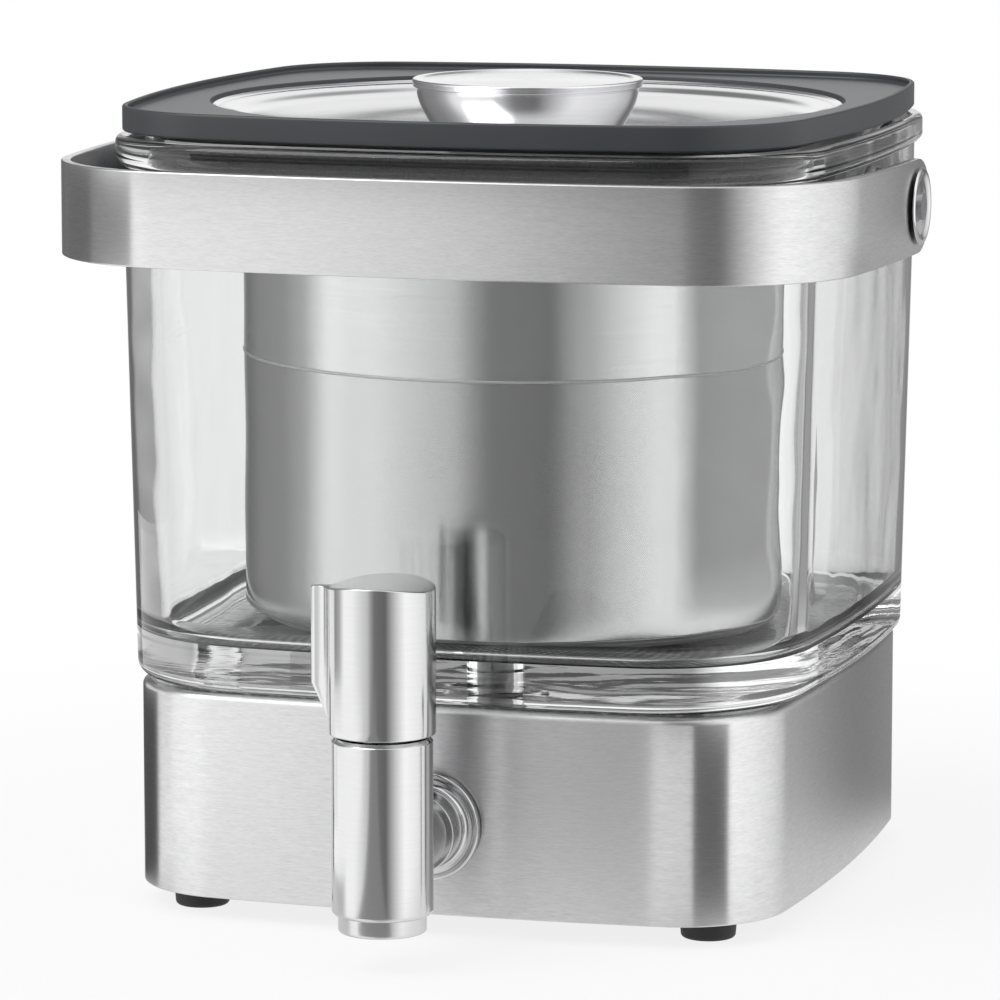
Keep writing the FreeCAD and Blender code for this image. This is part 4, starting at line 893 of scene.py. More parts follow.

# %% [markdown]
# ## The mat under the jar
# A thin silicone mat keeps glass and steel apart. Its middle, under the steeper, is painted dark
# as the steeper's shade, and it is full of small pale dimples in rings; its left and right margins
# are pale and plain, out of that shade. The jar's floor lies on it like a lens, so the pattern is
# seen stretched and broken. Real dimples would need a hundred thousand faces that nobody sees
# bare, so crossing waves round the middle stand for them.

# %% Cut the mat
# The dark tone is painted shade under the steeper; the pale margin tone is the mat out of that shade.
MAT_SHADE_TONE = (0.06, 0.06, 0.062)
DIMPLE_TONE = (0.30, 0.30, 0.305)
MARGIN_TONE = (0.50, 0.51, 0.51)
MARGIN_START = 78 * MM
MARGIN_FULL = 88 * MM
DIMPLE_RINGS = 5.12 * MM
DIMPLES_ROUND = 150.0
DIMPLE_START = 0.1
DIMPLE_FULL = 0.7
DIMPLE_DEPTH = 0.1 * MM
PATCHES = 60
PATCH_LOW = 0.4
PATCH_HIGH = 0.6
FAINT = 0.35
MAT_SMOOTH = 0.3
MAT_DULL = 0.4
AIR_FILM = 0.06 * MM


def dimpled_mat(tree):
    x, y, z = tree.axes()
    rings = tree.maths("SINE", from_axis(x, y) * (2 * math.pi / DIMPLE_RINGS))
    rows = tree.maths("SINE", tree.maths("ARCTAN2", x, y) * DIMPLES_ROUND)
    cloud = tree.noise((x * PATCHES, y * PATCHES, z * PATCHES), detail=3.0)
    patchy = tree.span(cloud, PATCH_LOW, PATCH_HIGH, FAINT, 1.0)
    dimple = tree.span(rings * rows, DIMPLE_START, DIMPLE_FULL, 0.0, 1.0) * patchy
    # Painted shade: the mat is dark in the middle, under the steeper, and pale only at its left and
    # right margins.
    out_of_shade = tree.span(tree.maths("ABSOLUTE", x), MARGIN_START, MARGIN_FULL, 0.0, 1.0)
    shaded_middle_tone = tree.mix(dimple, colour(MAT_SHADE_TONE), colour(DIMPLE_TONE))
    return {
        "Base Color": tree.mix(out_of_shade, shaded_middle_tone, colour(MARGIN_TONE)),
        "Roughness": tree.span(cloud, NOISE_LOW, NOISE_HIGH, MAT_SMOOTH, MAT_DULL),
        "Normal": tree.bump(dimple, DIMPLE_DEPTH),
    }


mat_silicone = principled("silicone_mat", dimpled_mat)
mat_low, mat_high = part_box("seat_pad")
mat_inset = mat_high.x - pan_half
mat_top = mat_high.z - AIR_FILM
mat_bottom = mat_low.z + AIR_FILM
mat_rings = [
    pan_outline.ring(mat_inset, mat_top),
    pan_outline.ring(mat_inset, mat_bottom),
    pan_outline.round_ring(DRAIN_HOLE, mat_bottom),
    pan_outline.round_ring(DRAIN_HOLE, mat_top),
]
add_piece("clear_mat", skin(mat_rings, True), mat_silicone, "stand",
          ["seat_pad"], AXIS)

# %% [markdown]
# ## The tap
# The tap is an upright barrel with a level arm that goes into the base through a collar: a disc
# with a rounded rim and a short neck. A ring-shaped nozzle closes the barrel below. All of it is
# turned on a lathe in reality, and the same is done here. One mesh with a boolean union would give
# the seam between barrel and arm, but the arm may as well run into the barrel unseen.

# %% Turn the barrel, the arm, the collar and the nozzle
BARREL_RADIUS = 14.4 * MM
BARREL_STEP = 1.2 * MM
BARREL_INSET = 1.0 * MM
BARREL_ROUND = 1.3 * MM
ARM_RADIUS = 10.5 * MM
SHANK_RADIUS = 7 * MM
SEAT_RADIUS = 9.0 * MM
SEAT_RISE = 3 * MM
SEAT_DEPTH = 12 * MM
VALVE_BORE = 7.05 * MM
SPOUT_RADIUS = 5.0 * MM
SPOUT_ROUND = 0.9 * MM
COLLAR_MOUTH = 16.0 * MM
COLLAR_NECK = 11.7 * MM
COLLAR_EDGE = 2.8 * MM
COLLAR_ROUND = 0.7 * MM
COLLAR_RIM = 1.5 * MM
COLLAR_GROOVE = 1.9 * MM
GROOVE_DEPTH = 0.4 * MM
NECK_DEPTH = 0.2 * MM
COLLAR_CURL = 1.6 * MM
FORWARD = (math.radians(90), 0, 0)

nozzle_low, nozzle_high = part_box("tap_nozzle")
collar_low, collar_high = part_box("tap_flange")
arm_level = (collar_low.z + collar_high.z) / 2
collar_length = collar_high.y - collar_low.y
nozzle_radius = (nozzle_high.x - nozzle_low.x) / 2


def tap_piece(name, shape, node, place=TAP_AXIS, turn=(0, 0, 0)):
    """A turned piece of the tap that stays with the stand."""
    add_piece(name, shape, turned_steel, "stand", [node], place, turn)


def rod(radius, length):
    return turned([(0, 0), (radius, 0), (radius, length), (0, length)], False)


tap_piece("tap_barrel", turned(rounded([
    (SEAT_RADIUS, tap_low.z + SEAT_RISE, 0),
    (SEAT_RADIUS, tap_low.z, KEEN),
    (BARREL_RADIUS, tap_low.z, BARREL_ROUND),
    (BARREL_RADIUS, tap_high.z - BARREL_STEP, EASED),
    (BARREL_RADIUS - BARREL_INSET, tap_high.z, FINE),
    (VALVE_BORE, tap_high.z, 0),
    (VALVE_BORE, tap_low.z + SEAT_DEPTH, 0),
    (SEAT_RADIUS, tap_low.z + SEAT_DEPTH, 0),
])), "tap_body")
tap_piece("tap_arm", rod(ARM_RADIUS, collar_high.y - TAP_AXIS.y - BARREL_RADIUS / 2), "tap_body",
          (0, collar_high.y, arm_level), FORWARD)
tap_piece("tap_shank", rod(SHANK_RADIUS, tap_high.y - collar_high.y), "tap_body",
          (0, tap_high.y, arm_level), FORWARD)
tap_piece("tap_collar", turned(rounded([
    (ARM_RADIUS, 0, 0),
    (COLLAR_MOUTH, 0, EASED),
    (COLLAR_MOUTH, COLLAR_EDGE, COLLAR_ROUND),
    (COLLAR_MOUTH - COLLAR_RIM, COLLAR_EDGE, EASED),
    (COLLAR_MOUTH - COLLAR_GROOVE, COLLAR_EDGE - GROOVE_DEPTH, FINE),
    (COLLAR_NECK, COLLAR_EDGE - NECK_DEPTH, COLLAR_CURL),
    (COLLAR_NECK, collar_length, FINE),
    (ARM_RADIUS, collar_length, 0),
])), "tap_flange", (0, collar_high.y, arm_level), FORWARD)
tap_piece("nozzle_ring", turned(rounded([
    (SPOUT_RADIUS, nozzle_high.z, 0),
    (SPOUT_RADIUS, nozzle_low.z, SOFT),
    (nozzle_radius, nozzle_low.z, SPOUT_ROUND),
    (nozzle_radius, tap_low.z, 0),
    (SEAT_RADIUS, tap_low.z, 0),
    (SEAT_RADIUS, nozzle_high.z, 0),
])), "tap_nozzle")

# %% [markdown]
# ## The outline of the twist grip
# The grip's section is a circle that runs into a thumb fin through two small hollows. It could be
# a plate stuck on a cylinder, but then a hard line would stand where the thumb feels a hollow. So
# the section is one outline, and each of its points knows its place on the plain circle too: the
# fin can then fade away towards the bottom by a share between the two.

# %% Draw the grip's section
FIN_HALF = 1.6 * MM
FIN_HOLLOW = 4.0 * MM
FIN_TIP = 1.5 * MM
CIRCLE_POINTS = 90
HOLLOW_POINTS = 20
FLANK_POINTS = 4
TIP_POINTS = 6

grip_low, grip_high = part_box("tap_grip")
grip_radius = grip_high.x
fin_reach = -grip_low.x


def grip_outline():
    """The circle with its fin, as points, and the plain circle's point for each of them."""
    hollow_y = FIN_HALF + FIN_HOLLOW
    hollow_x = math.sqrt((grip_radius + FIN_HOLLOW) ** 2 - hollow_y ** 2)
    root = math.atan2(hollow_y, hollow_x)
    half = [(-grip_radius * math.cos(turn), grip_radius * math.sin(turn))
            for turn in np.linspace(math.pi, root, CIRCLE_POINTS, endpoint=False)]
    for turn in np.linspace(root, math.pi / 2, HOLLOW_POINTS, endpoint=False):
        half.append((FIN_HOLLOW * math.cos(turn) - hollow_x, hollow_y - FIN_HOLLOW * math.sin(turn)))
    straight = fin_reach - FIN_TIP
    half += [(-reach, FIN_HALF) for reach in np.linspace(hollow_x, straight, FLANK_POINTS)]
    for turn in np.linspace(0, math.pi / 2, TIP_POINTS):
        half.append((-straight - FIN_TIP * math.sin(turn), FIN_HALF - FIN_TIP * (1 - math.cos(turn))))
    other = [(x, -y) for x, y in reversed(half[1:])]
    whole = np.array(half + other)
    plain = whole / np.linalg.norm(whole, axis=1)[:, None] * grip_radius
    return whole, plain


grip_full, grip_plain = grip_outline()


def grip_ring(share, inset, height):
    """A level ring: share 0 is the plain circle, share 1 has the whole fin."""
    flat_ring = grip_plain + (grip_full - grip_plain) * share
    length = np.linalg.norm(flat_ring, axis=1)[:, None]
    return level_ring(flat_ring * (1 - inset / length), height)


def plain_ring(radius, height):
    """The plain circle with the same points, or the one point in its middle."""
    return level_ring(grip_plain * radius / grip_radius, height) if radius else circle(0, height)


print("grip outline of", len(grip_full), "points, the fin reaches", round(fin_reach / MM, 1), "mm")

# %% [markdown]
# ## The twist grip
# The fin slopes in over the lowest centimetre and then stands straight. The top is crowned: it is
# highest along its middle and falls away to the sides, so it catches the light of the sky like a
# saddle. It is made by lowering the points of the top rings, which keeps the rim's small radius.

# %% Make the twist grip
FIN_FOOT = 2.3 * MM
FIN_SLOPE = 11.2 * MM
CROWN_DROP = 1.9 * MM
CROWN_POWER = 2.4
CROWN_INSET = 0.9 * MM
GRIP_WALL = 2.2 * MM
GRIP_ROOF = 4 * MM
GRIP_EDGE = 0.45 * MM
FIN_RINGS = 14
CROWN_RINGS = 20
QUARTER = np.linspace(0, math.pi / 2, 6)

bottom = grip_low.z
top = grip_high.z
fin_low = bottom + FIN_FOOT
grip_rings = [plain_ring(0, top - GRIP_ROOF)]
grip_rings += [plain_ring(grip_radius - GRIP_WALL, level) for level in (top - GRIP_ROOF, bottom)]
for turn in QUARTER:
    inset = GRIP_EDGE * (1 - math.sin(turn))
    grip_rings.append(grip_ring(0, inset, bottom + GRIP_EDGE * (1 - math.cos(turn))))
for share in np.linspace(0, 1, FIN_RINGS):
    grip_rings.append(grip_ring(share, 0, fin_low + FIN_SLOPE * share))
crown_rings = []
for turn in QUARTER:
    inset = GRIP_EDGE * (1 - math.cos(turn))
    crown_rings.append(grip_ring(1, inset, top - GRIP_EDGE * (1 - math.sin(turn))))
for share in np.linspace(1, 0, CROWN_RINGS):
    crown_rings.append(plain_ring((grip_radius - CROWN_INSET) * share, top))
for ring in crown_rings:
    sideways = np.minimum(1.0, abs(ring[:, 0]) / grip_radius)
    ring[:, 2] -= CROWN_DROP * sideways ** CROWN_POWER
add_piece("twist_grip", skin(grip_rings + crown_rings), turned_steel, "tap_handle",
          ["tap_grip"], TAP_AXIS)

# %% [markdown]
# ## The carry band
# The handle is one strip of steel, bent round two corners, with half-round ends at the pivots.
# A curve with a bevel would give round edges, but a strip has flat faces and small edge radii,
# so the section is carried along the strip and narrows with the round of each end.

# %% Bend the band
BAND_BOW = 747 * MM
BAND_CORNER = 46.4 * MM
BAND_THICK = 2.8 * MM
BAND_EDGE = 0.45 * MM
THIN_EDGE = 0.45
END_ANGLE = 1.5
FRONT_STEPS = 24
BEND_STEPS = 30
ARM_STEPS = 14
END_STEPS = 26

band_low, band_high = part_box("carry_handle")
stud_low, stud_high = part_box("pivot_stud_left")
pivot = (stud_low + stud_high) / 2
band_outline = Outline(band_high.x, AXIS.y - band_low.y, BAND_BOW, BAND_CORNER)
half_height = (band_high.z - band_low.z) / 2


def turn_at(back):
    """The outline's turn at a place that far behind the axis, on its right side."""
    return math.pi / 2 + math.asin(back / BAND_BOW)


def band_stations():
    """Turns along the band from the left end to the right, and the half height at each."""
    pivot_back = pivot.y - AXIS.y
    arm_start = -BAND_BOW * math.cos(band_outline.last)
    front = list(np.linspace(0, band_outline.first, FRONT_STEPS)[:-1])
    bend = list(np.linspace(band_outline.first, band_outline.last, BEND_STEPS)[:-1])
    arm = [turn_at(back) for back in np.linspace(arm_start, pivot_back, ARM_STEPS)[:-1]]
    right = [(turn, half_height) for turn in front + bend + arm]
    for angle in np.linspace(0, END_ANGLE, END_STEPS):
        back = pivot_back + half_height * math.sin(angle)
        right.append((turn_at(back), half_height * math.cos(angle)))
    left = [(-turn, height) for turn, height in reversed(right[1:])]
    return left + right


def band_section(height):
    """The strip's cross-section as (distance outwards, height) points."""
    edge = min(BAND_EDGE, height * THIN_EDGE)
    return closed([
        (0, 0, 0),
        (0, height, edge),
        (-BAND_THICK, height, edge),
        (-BAND_THICK, -height, edge),
        (0, -height, edge),
        (0, 0, 0),
    ])


band_rings = []
for turn, height in band_stations():
    ring = []
    for grow, level in band_section(height):
        x, y = band_outline.at(np.array([turn]), grow)[0]
        ring.append((x, y, pivot.z + level))
    band_rings.append(np.array(ring))
ends = [np.array([ring.mean(axis=0)]) for ring in (band_rings[0], band_rings[-1])]
add_piece("carry_band", skin([ends[0]] + band_rings + [ends[1]]), brushed_steel, "handle",
          ["carry_handle"], AXIS)

# %% [markdown]
# ## The pivot caps
# A round polished cap hides each pivot. It is turned, with a raised rim and a shallow dish, and
# its face has no straight line in it. So its profile is not made of corners and arcs: a smooth
# curve is laid through a few points, given in millimetres, as a turner would copy a template.

# %% Turn the caps
CAP_PROFILE = [
    (0, 0.1), (11.0, 0.1), (11.3, 0.3), (11.25, 0.6), (10.9, 0.85), (10.4, 0.9), (9.8, 0.8),
    (9.2, 0.55), (8.2, 0.25), (6.8, 0.15), (5.0, 0.25), (2.5, 0.40), (0, 0.45),
]


def smooth_profile(points, steps=4):
    """A Catmull-Rom curve through the points of a profile."""
    given = [np.array(point, float) for point in points]
    padded = [given[0] * 2 - given[1]] + given + [given[-1] * 2 - given[-2]]
    path = [given[0]]
    for before, start, end, after in zip(padded, padded[1:], padded[2:], padded[3:]):
        for step in range(1, steps + 1):
            share = step / steps
            path.append(0.5 * (
                2 * start + (end - before) * share
                + (2 * before - 5 * start + 4 * end - after) * share ** 2
                + (3 * start - 3 * end + after - before) * share ** 3
            ))
    return [(max(0.0, float(reach)), float(level)) for reach, level in path]


cap_curve = smooth_profile(CAP_PROFILE[1:])
cap_profile = [CAP_PROFILE[0]] + cap_curve[:-1] + [CAP_PROFILE[-1]]
cap_profile = [(reach * MM, level * MM) for reach, level in cap_profile]
for side, sign in (("left", -1), ("right", 1)):
    low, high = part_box(f"pivot_cap_{side}")
    start = min(abs(low.x), abs(high.x))
    add_piece(f"polished_cap_{side}", turned(cap_profile, False), polished_steel, "stand",
              [f"pivot_cap_{side}"], (sign * start, pivot.y, pivot.z),
              (0, sign * math.radians(90), 0))

# %% [markdown]
# ## The lid's frame
# The lid is a square plastic frame with a thin raised lip and a round opening for the dish. A
# boolean could cut the opening, but it would leave long thin faces that shade badly. So its rings
# start as squares at the outer edge and end as circles at the opening, point for point.

# %% Mould the frame
LID_BOW = 432 * MM
LID_CORNER = 40 * MM
LIP_WIDTH = 1.6 * MM
LIP_RISE = 2.2 * MM
LIP_ROUND = 0.7 * MM
LIP_OUTSIDE = 0.75 * MM
LIP_FOOT = 0.8 * MM
PANEL_RING = 2 * MM
OPENING_RADIUS = 95 * MM
DISH_FIT = 0.2 * MM

lid_half = lid_high.x
lid_outline = Outline(lid_half, lid_half, LID_BOW, LID_CORNER)
panel = lid_high.z - LIP_RISE
lid_outside = rounded([
    (-LIP_WIDTH * 3, lid_low.z, 0),
    (0, lid_low.z, LIP_ROUND),
    (0, lid_high.z, LIP_OUTSIDE),
    (-LIP_WIDTH, lid_high.z, LIP_ROUND),
    (-LIP_WIDTH, panel, LIP_FOOT),
    (-LIP_WIDTH * 3, panel, 0),
])
dish_low, dish_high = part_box("lid_dish")
dish_edge = dish_high.x
inner_edge = rounded([
    (OPENING_RADIUS + PANEL_RING, panel, 0),
    (OPENING_RADIUS, panel, EASED),
    (OPENING_RADIUS, dish_high.z, 0),
    (dish_edge + DISH_FIT, dish_high.z, 0),
    (dish_edge + DISH_FIT, lid_low.z, 0),
])
frame_rings = [lid_outline.ring(grow, level) for grow, level in lid_outside]
frame_rings += [lid_outline.round_ring(reach, level) for reach, level in inner_edge]
add_piece("square_frame", skin(frame_rings, True), graphite, "lid",
          ["lid_frame"], AXIS)

# %% [markdown]
# ## The dish
# A shallow bowl of polished steel lies in the opening. It is spun over a form, so its slope is one
# soft curve with a faint step near the rim, where the spinner's roller pressed the sheet down. A
# polished bowl mirrors the whole room, and each bend in the profile is a ring in the mirror image.

# %% Spin the dish
DISH_GAUGE = 1.0 * MM
DISH_SLOPE = 50 * MM
DISH_RIM = 2.0 * MM
DISH_LIP = 0.7 * MM
DISH_BEND = 0.8 * MM
BOWL_POWER = 2.2
BOWL_RINGS = 90
BOWL_FLAT = 3 * MM
STEP_DROP = 1.3 * MM
STEP_PLACE = 6.0 * MM
STEP_WIDTH = 2.2 * MM

dish_wall = OPENING_RADIUS - DISH_FIT
dish_floor = dish_low.z + DISH_GAUGE
bowl_start = dish_wall - DISH_RIM
bowl_top = dish_high.z - DISH_LIP
dish_top = rounded([
    (dish_edge, dish_high.z, 0),
    (dish_wall - DISH_BEND, dish_high.z, SOFT),
    (bowl_start, bowl_top, 0),
])
bowl_drop = bowl_top - dish_floor - STEP_DROP
for share in np.linspace(0, 1, BOWL_RINGS)[1:]:
    inwards = DISH_SLOPE * share
    bowl = bowl_drop * (1 - (1 - share) ** BOWL_POWER)
    step = STEP_DROP * 0.5 * (1 + math.tanh((inwards - STEP_PLACE) / STEP_WIDTH))
    dish_top.append((bowl_start - inwards, bowl_top - bowl - step))
dish_top.append((BOWL_FLAT, dish_floor))
dish_under = [(reach, level - DISH_GAUGE) for reach, level in reversed(dish_top)]
add_piece("polished_dish", turned(dish_top + dish_under), polished_steel, "lid",
          ["lid_dish"], AXIS)

# %% [markdown]
# ## The seal
# A soft ring with two lips hangs round the lid's plug and grips the inside of the jar's neck. Its
# section follows the jar's outline. It could be swept along a curve, but the jar's outline grows
# and shrinks by itself, so the section can be given in distances from the jar. Its colour is
# painted near black, as the shade inside the neck.

# %% Mould the seal
LIP_HALF = 0.9 * MM
LIP_REACH = 1.1 * MM

seal_low, seal_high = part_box("lid_seal")
seal_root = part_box("lid_plug")[1].x - foot_half
seal_tip = seal_high.x - foot_half
seal_middle = (seal_low.z + seal_high.z) / 2
seal_section = closed([
    (seal_root, seal_middle, 0),
    (seal_root, seal_high.z, KEEN),
    (seal_tip - LIP_REACH, seal_high.z, FINE),
    (seal_tip, seal_high.z - LIP_HALF, FINE),
    (seal_tip - LIP_REACH, seal_high.z - LIP_HALF * 2, FINE),
    (seal_tip - LIP_REACH, seal_low.z + LIP_HALF * 2, FINE),
    (seal_tip, seal_low.z + LIP_HALF, FINE),
    (seal_tip - LIP_REACH, seal_low.z, FINE),
    (seal_root, seal_low.z, KEEN),
    (seal_root, seal_middle, 0),
])
seal_rings = [jar_outline.ring(grow, level) for grow, level in seal_section]
# The seal's near-black finish is painted shade.
add_piece("lipped_seal", skin(seal_rings, True), shaded_seal_silicone, "lid",
          ["lid_seal"], AXIS)

# %% [markdown]
# ## The knob
# The knob is turned from one bar: a narrow foot that swells like a cup, a small step, and a band
# with a rounded rim round a shallow hollow. The swell is a quarter of a sine wave, which leaves
# the foot steeply and meets the rim upright, so it needs no arc of its own.

# %% Turn the knob
KNOB_EDGE = 2.4 * MM
KNOB_STEP = 1.2 * MM
KNOB_FOOT = 29 * MM
KNOB_HOLLOW = 0.6 * MM
KNOB_LEAN = 0.1 * MM
KNOB_UNDER = 0.35 * MM
KNOB_RIM = 0.7 * MM
HOLLOW_SLOPE = 1.2 * MM
KNOB_RINGS = 20

knob_low, knob_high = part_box("lid_knob")
knob_radius = knob_high.x
edge_low = knob_high.z - KNOB_EDGE
hollow_level = knob_high.z - KNOB_HOLLOW
swell = knob_radius - KNOB_STEP - KNOB_FOOT
knob_profile = [(0, knob_low.z)]
for turn in np.linspace(0, math.pi / 2, KNOB_RINGS):
    level = knob_low.z + (edge_low - knob_low.z) * turn / (math.pi / 2)
    knob_profile.append((KNOB_FOOT + swell * math.sin(turn), level))
knob_profile += rounded([
    (knob_radius - KNOB_STEP, edge_low, 0),
    (knob_radius - KNOB_LEAN, edge_low, KNOB_UNDER),
    (knob_radius, knob_high.z, KNOB_RIM),
    (knob_radius - KNOB_EDGE, knob_high.z, SOFT),
    (knob_radius - KNOB_EDGE - HOLLOW_SLOPE, hollow_level, SOFT),
    (0, hollow_level, 0),
])
add_piece("turned_knob", turned(knob_profile, False), knob_steel, "lid",
          ["lid_knob"], AXIS)

# %% [markdown]
# ## The steeper
# A solid brushed wall above, a fine sieve below, a stiff bottom ring that draws in towards the
# floor, and a rolled rim: all are thin turned rings. A rough bead of weld runs round the seam
# between wall and sieve, and it shows as a fine light line: its roughness is real, and its colour
# is painted lighter than the wall as a highlight. The rings are drawn with many more sides than
# the frame's own, because the glass in front magnifies every flat.

# %% Roll the steeper
STEEPER_STEPS = 288
STEEPER_TURN = np.linspace(0, 2 * math.pi, STEEPER_STEPS, endpoint=False)
WALL_GAUGE = 0.9 * MM
MESH_GAUGE = 0.7 * MM
MESH_EDGE = 0.1 * MM
RIM_WIDTH = 3.4 * MM
RIM_ROUND = 1.3 * MM
SEAM_BEAD = 0.25 * MM
SEAM_GAUGE = 0.8 * MM
SEAM_HEIGHT = 0.9 * MM
SEAM_ROUND = 0.35 * MM
BOTTOM_UNDERCUT = 5.5 * MM
BOTTOM_WALL = 1.2 * MM


def steeper_ring(name, node, dressing, section):
    """A turned ring of the steeper from a closed section."""
    shape = turned(section, True, STEEPER_TURN)
    add_piece(name, shape, dressing, "steeper", [node], AXIS)


def steeper_tube(name, node, dressing, gauge, edge, inset=0.0, height=None):
    """A thin ring between the levels of its piece, or only as high as it is told."""
    low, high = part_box(node)
    outside = high.x - inset
    top_level = high.z if height is None else low.z + height
    middle_level = (low.z + top_level) / 2
    steeper_ring(name, node, dressing, closed([
        (outside, middle_level, 0),
        (outside, top_level, edge),
        (high.x - gauge, top_level, edge),
        (high.x - gauge, low.z, edge),
        (outside, low.z, edge),
        (outside, middle_level, 0),
    ]))


steeper_tube("solid_wall", "steeper_wall", steeper_steel, WALL_GAUGE, KEEN,
             SEAM_BEAD)
# The bead's lighter finish is a painted highlight.
steeper_tube("seam_bead", "steeper_wall", seam_highlight_steel, SEAM_GAUGE, SEAM_ROUND,
             0.0, SEAM_HEIGHT)
steeper_tube("sieve", "steeper_mesh", mesh_steel, MESH_GAUGE, MESH_EDGE)
ring_low, ring_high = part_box("steeper_ring")
drawn_in = ring_high.x - BOTTOM_UNDERCUT
steeper_ring("bottom_ring", "steeper_ring", mesh_steel, closed([
    (ring_high.x - BOTTOM_WALL, ring_high.z, 0),
    (ring_high.x, ring_high.z, KEEN),
    (drawn_in, ring_low.z, SOFT),
    (drawn_in - BOTTOM_WALL, ring_low.z, KEEN),
    (ring_high.x - BOTTOM_WALL, ring_high.z, 0),
]))
steeper_tube("rolled_rim", "steeper_rim", steeper_steel, RIM_WIDTH, RIM_ROUND)

# %% [markdown]
# ## The studio
# Bright metal is a picture of the room round it. Brushed steel on a white ground looks like a
# paper cut-out until the room has dark gaps between its soft boxes. The room could be built from
# real lamps and walls, but a world that only mirrored rays see does the same without noise: a
# ring of soft boxes and gaps, given as levels at turns, and one more box overhead. The camera
# sees plain white instead, and surfaces are lit by an even grey sky.

# %% Set the levels of the room
STUDIO_RING = [
    (-180, 0.32), (-176, 0.45), (-171, 1.02), (-158, 1.02), (-154, 0.28), (-140, 0.15),
    (-122, 0.30), (-100, 0.36), (-84, 0.60), (-70, 1.40), (-48, 1.35), (-36, 1.15), (-24, 0.95),
    (-13, 0.80), (-5, 0.45), (2, 0.24), (26, 0.18), (35, 0.45), (48, 0.85), (60, 1.20),
    (70, 1.45), (98, 1.30), (125, 1.10), (142, 0.85), (152, 0.70), (160, 0.36), (167, 0.14),
    (174, 0.34), (180, 0.32),
]
STUDIO_PEAK = 1.5
OVERHEAD = 1.2
OVERHEAD_START = 0.70
OVERHEAD_FULL = 0.88
SKY_LEVEL = 0.72
WHITE = 1.0
NO_MIRROR = 0.5


def in_turns(degrees):
    """A direction as a place from 0 to 1 round the ring."""
    return degrees / 360 + 0.5


def round_the_ring(tree, x, y):
    """Where a ray leaves the room, from 0 to 1 round it, with the front in the middle."""
    return tree.maths("ARCTAN2", x, y * -1.0) / (2 * math.pi) + 0.5


print("studio ring of", len(STUDIO_RING), "stops")

# %% [markdown]
# ## What glass sees
# Glass in a white room would lose its edges, and that is why dark cards stand beside it in a
# studio. A ray that was mirrored inside the glass and then leaves it finds a room of its own: it
# is light in front and to the sides and dark straight behind, and lighter above than below. A ray
# that goes straight through finds the white ground, a little dimmed.

# %% Build the world
CLEAR_WHITE = 0.72
FEW_PASSES = 2.5
ROOM_LEVEL = 0.74
REAR_LEFT = 0.22
REAR_RIGHT = 0.30
LEFT_END = 0.45
RIGHT_START = 0.55
REAR_START = 143 / 360
REAR_FULL = 150 / 360
LOW_RAY = -0.20
HIGH_RAY = 0.16
LOW_SHARE = 0.35
HIGH_SHARE = 1.6


def glass_room(tree, place, z):
    """The grey that rays from inside the glass find in each direction."""
    sideways = tree.maths("ABSOLUTE", place - 0.5)
    dark = tree.span(place, LEFT_END, RIGHT_START, REAR_LEFT, REAR_RIGHT)
    level = tree.span(sideways, REAR_START, REAR_FULL, ROOM_LEVEL, dark)
    level = level * tree.span(z, LOW_RAY, HIGH_RAY, LOW_SHARE, HIGH_SHARE) / STUDIO_PEAK
    return tree.node("ShaderNodeCombineColor", {}, {0: level, 1: level, 2: level})


def studio_world():
    world = bpy.data.worlds.new("studio")
    scene.world = world
    tree = Tree(world)
    x, y, z = tree.axes("Generated")
    place = round_the_ring(tree, x, y)
    stops = [(in_turns(degrees), level / STUDIO_PEAK) for degrees, level in STUDIO_RING]
    ring = tree.node("ShaderNodeValToRGB", {"stops": stops}, {"Fac": place})
    above = tree.span(z, OVERHEAD_START, OVERHEAD_FULL, 0.0, 1.0)
    boxes = tree.mix(above, ring, colour(OVERHEAD / STUDIO_PEAK))
    straight, through, glossy = tree.rays("Is Camera Ray", "Is Transmission Ray", "Is Glossy Ray")
    mirrors, passes = tree.rays("Glossy Depth", "Transmission Depth")
    plain = tree.maths("LESS_THAN", mirrors, NO_MIRROR)
    inside_glass = tree.maths("LESS_THAN", passes, FEW_PASSES) * (1.0 - plain)
    boxes = tree.mix(through * inside_glass, boxes, glass_room(tree, place, z))
    clean = tree.maths("MAXIMUM", straight, through * plain * CLEAR_WHITE)
    view = tree.mix(clean, boxes, colour(WHITE / STUDIO_PEAK))
    studio = tree.node("ShaderNodeBackground", {}, {"Color": view, "Strength": STUDIO_PEAK})
    sky = tree.node("ShaderNodeBackground", {}, {"Color": colour(SKY_LEVEL)})
    sharp = tree.maths("MAXIMUM", straight, glossy)
    tree.node("ShaderNodeOutputWorld", {}, {"Surface": tree.blend(sharp, sky, studio)})
    world.cycles.sampling_method = "NONE"


studio_world()
print("world with a peak of", STUDIO_PEAK)

# %% [markdown]
# ## The floor
# A sheet of white paper takes the object's soft shadow and turns to pure white further out, so
# that no horizon shows. Mirrored rays see only the paper near the object: a polished tap would
# otherwise mirror a white plain up to the horizon, and its lower half would have no form.

# %% Lay the floor
FLOOR_RADIUS = 4.0
FLOOR_STEPS = 96
PAPER_SHADE = 0.82
CLEAN_SHARE = 0.84
CLEAN_START = 0.18
CLEAN_FULL = 0.42
NEAR_START = 0.14
NEAR_END = 0.20
NEAR_OPEN = 0.3


def seen_directly(tree):
    """1 for what the camera sees, bare or through glass, and 0 for what a surface mirrors."""
    straight, through, mirrors = tree.rays("Is Camera Ray", "Is Transmission Ray", "Glossy Depth")
    unmirrored = tree.maths("LESS_THAN", mirrors, NO_MIRROR)
    return tree.maths("MAXIMUM", straight, through * unmirrored)


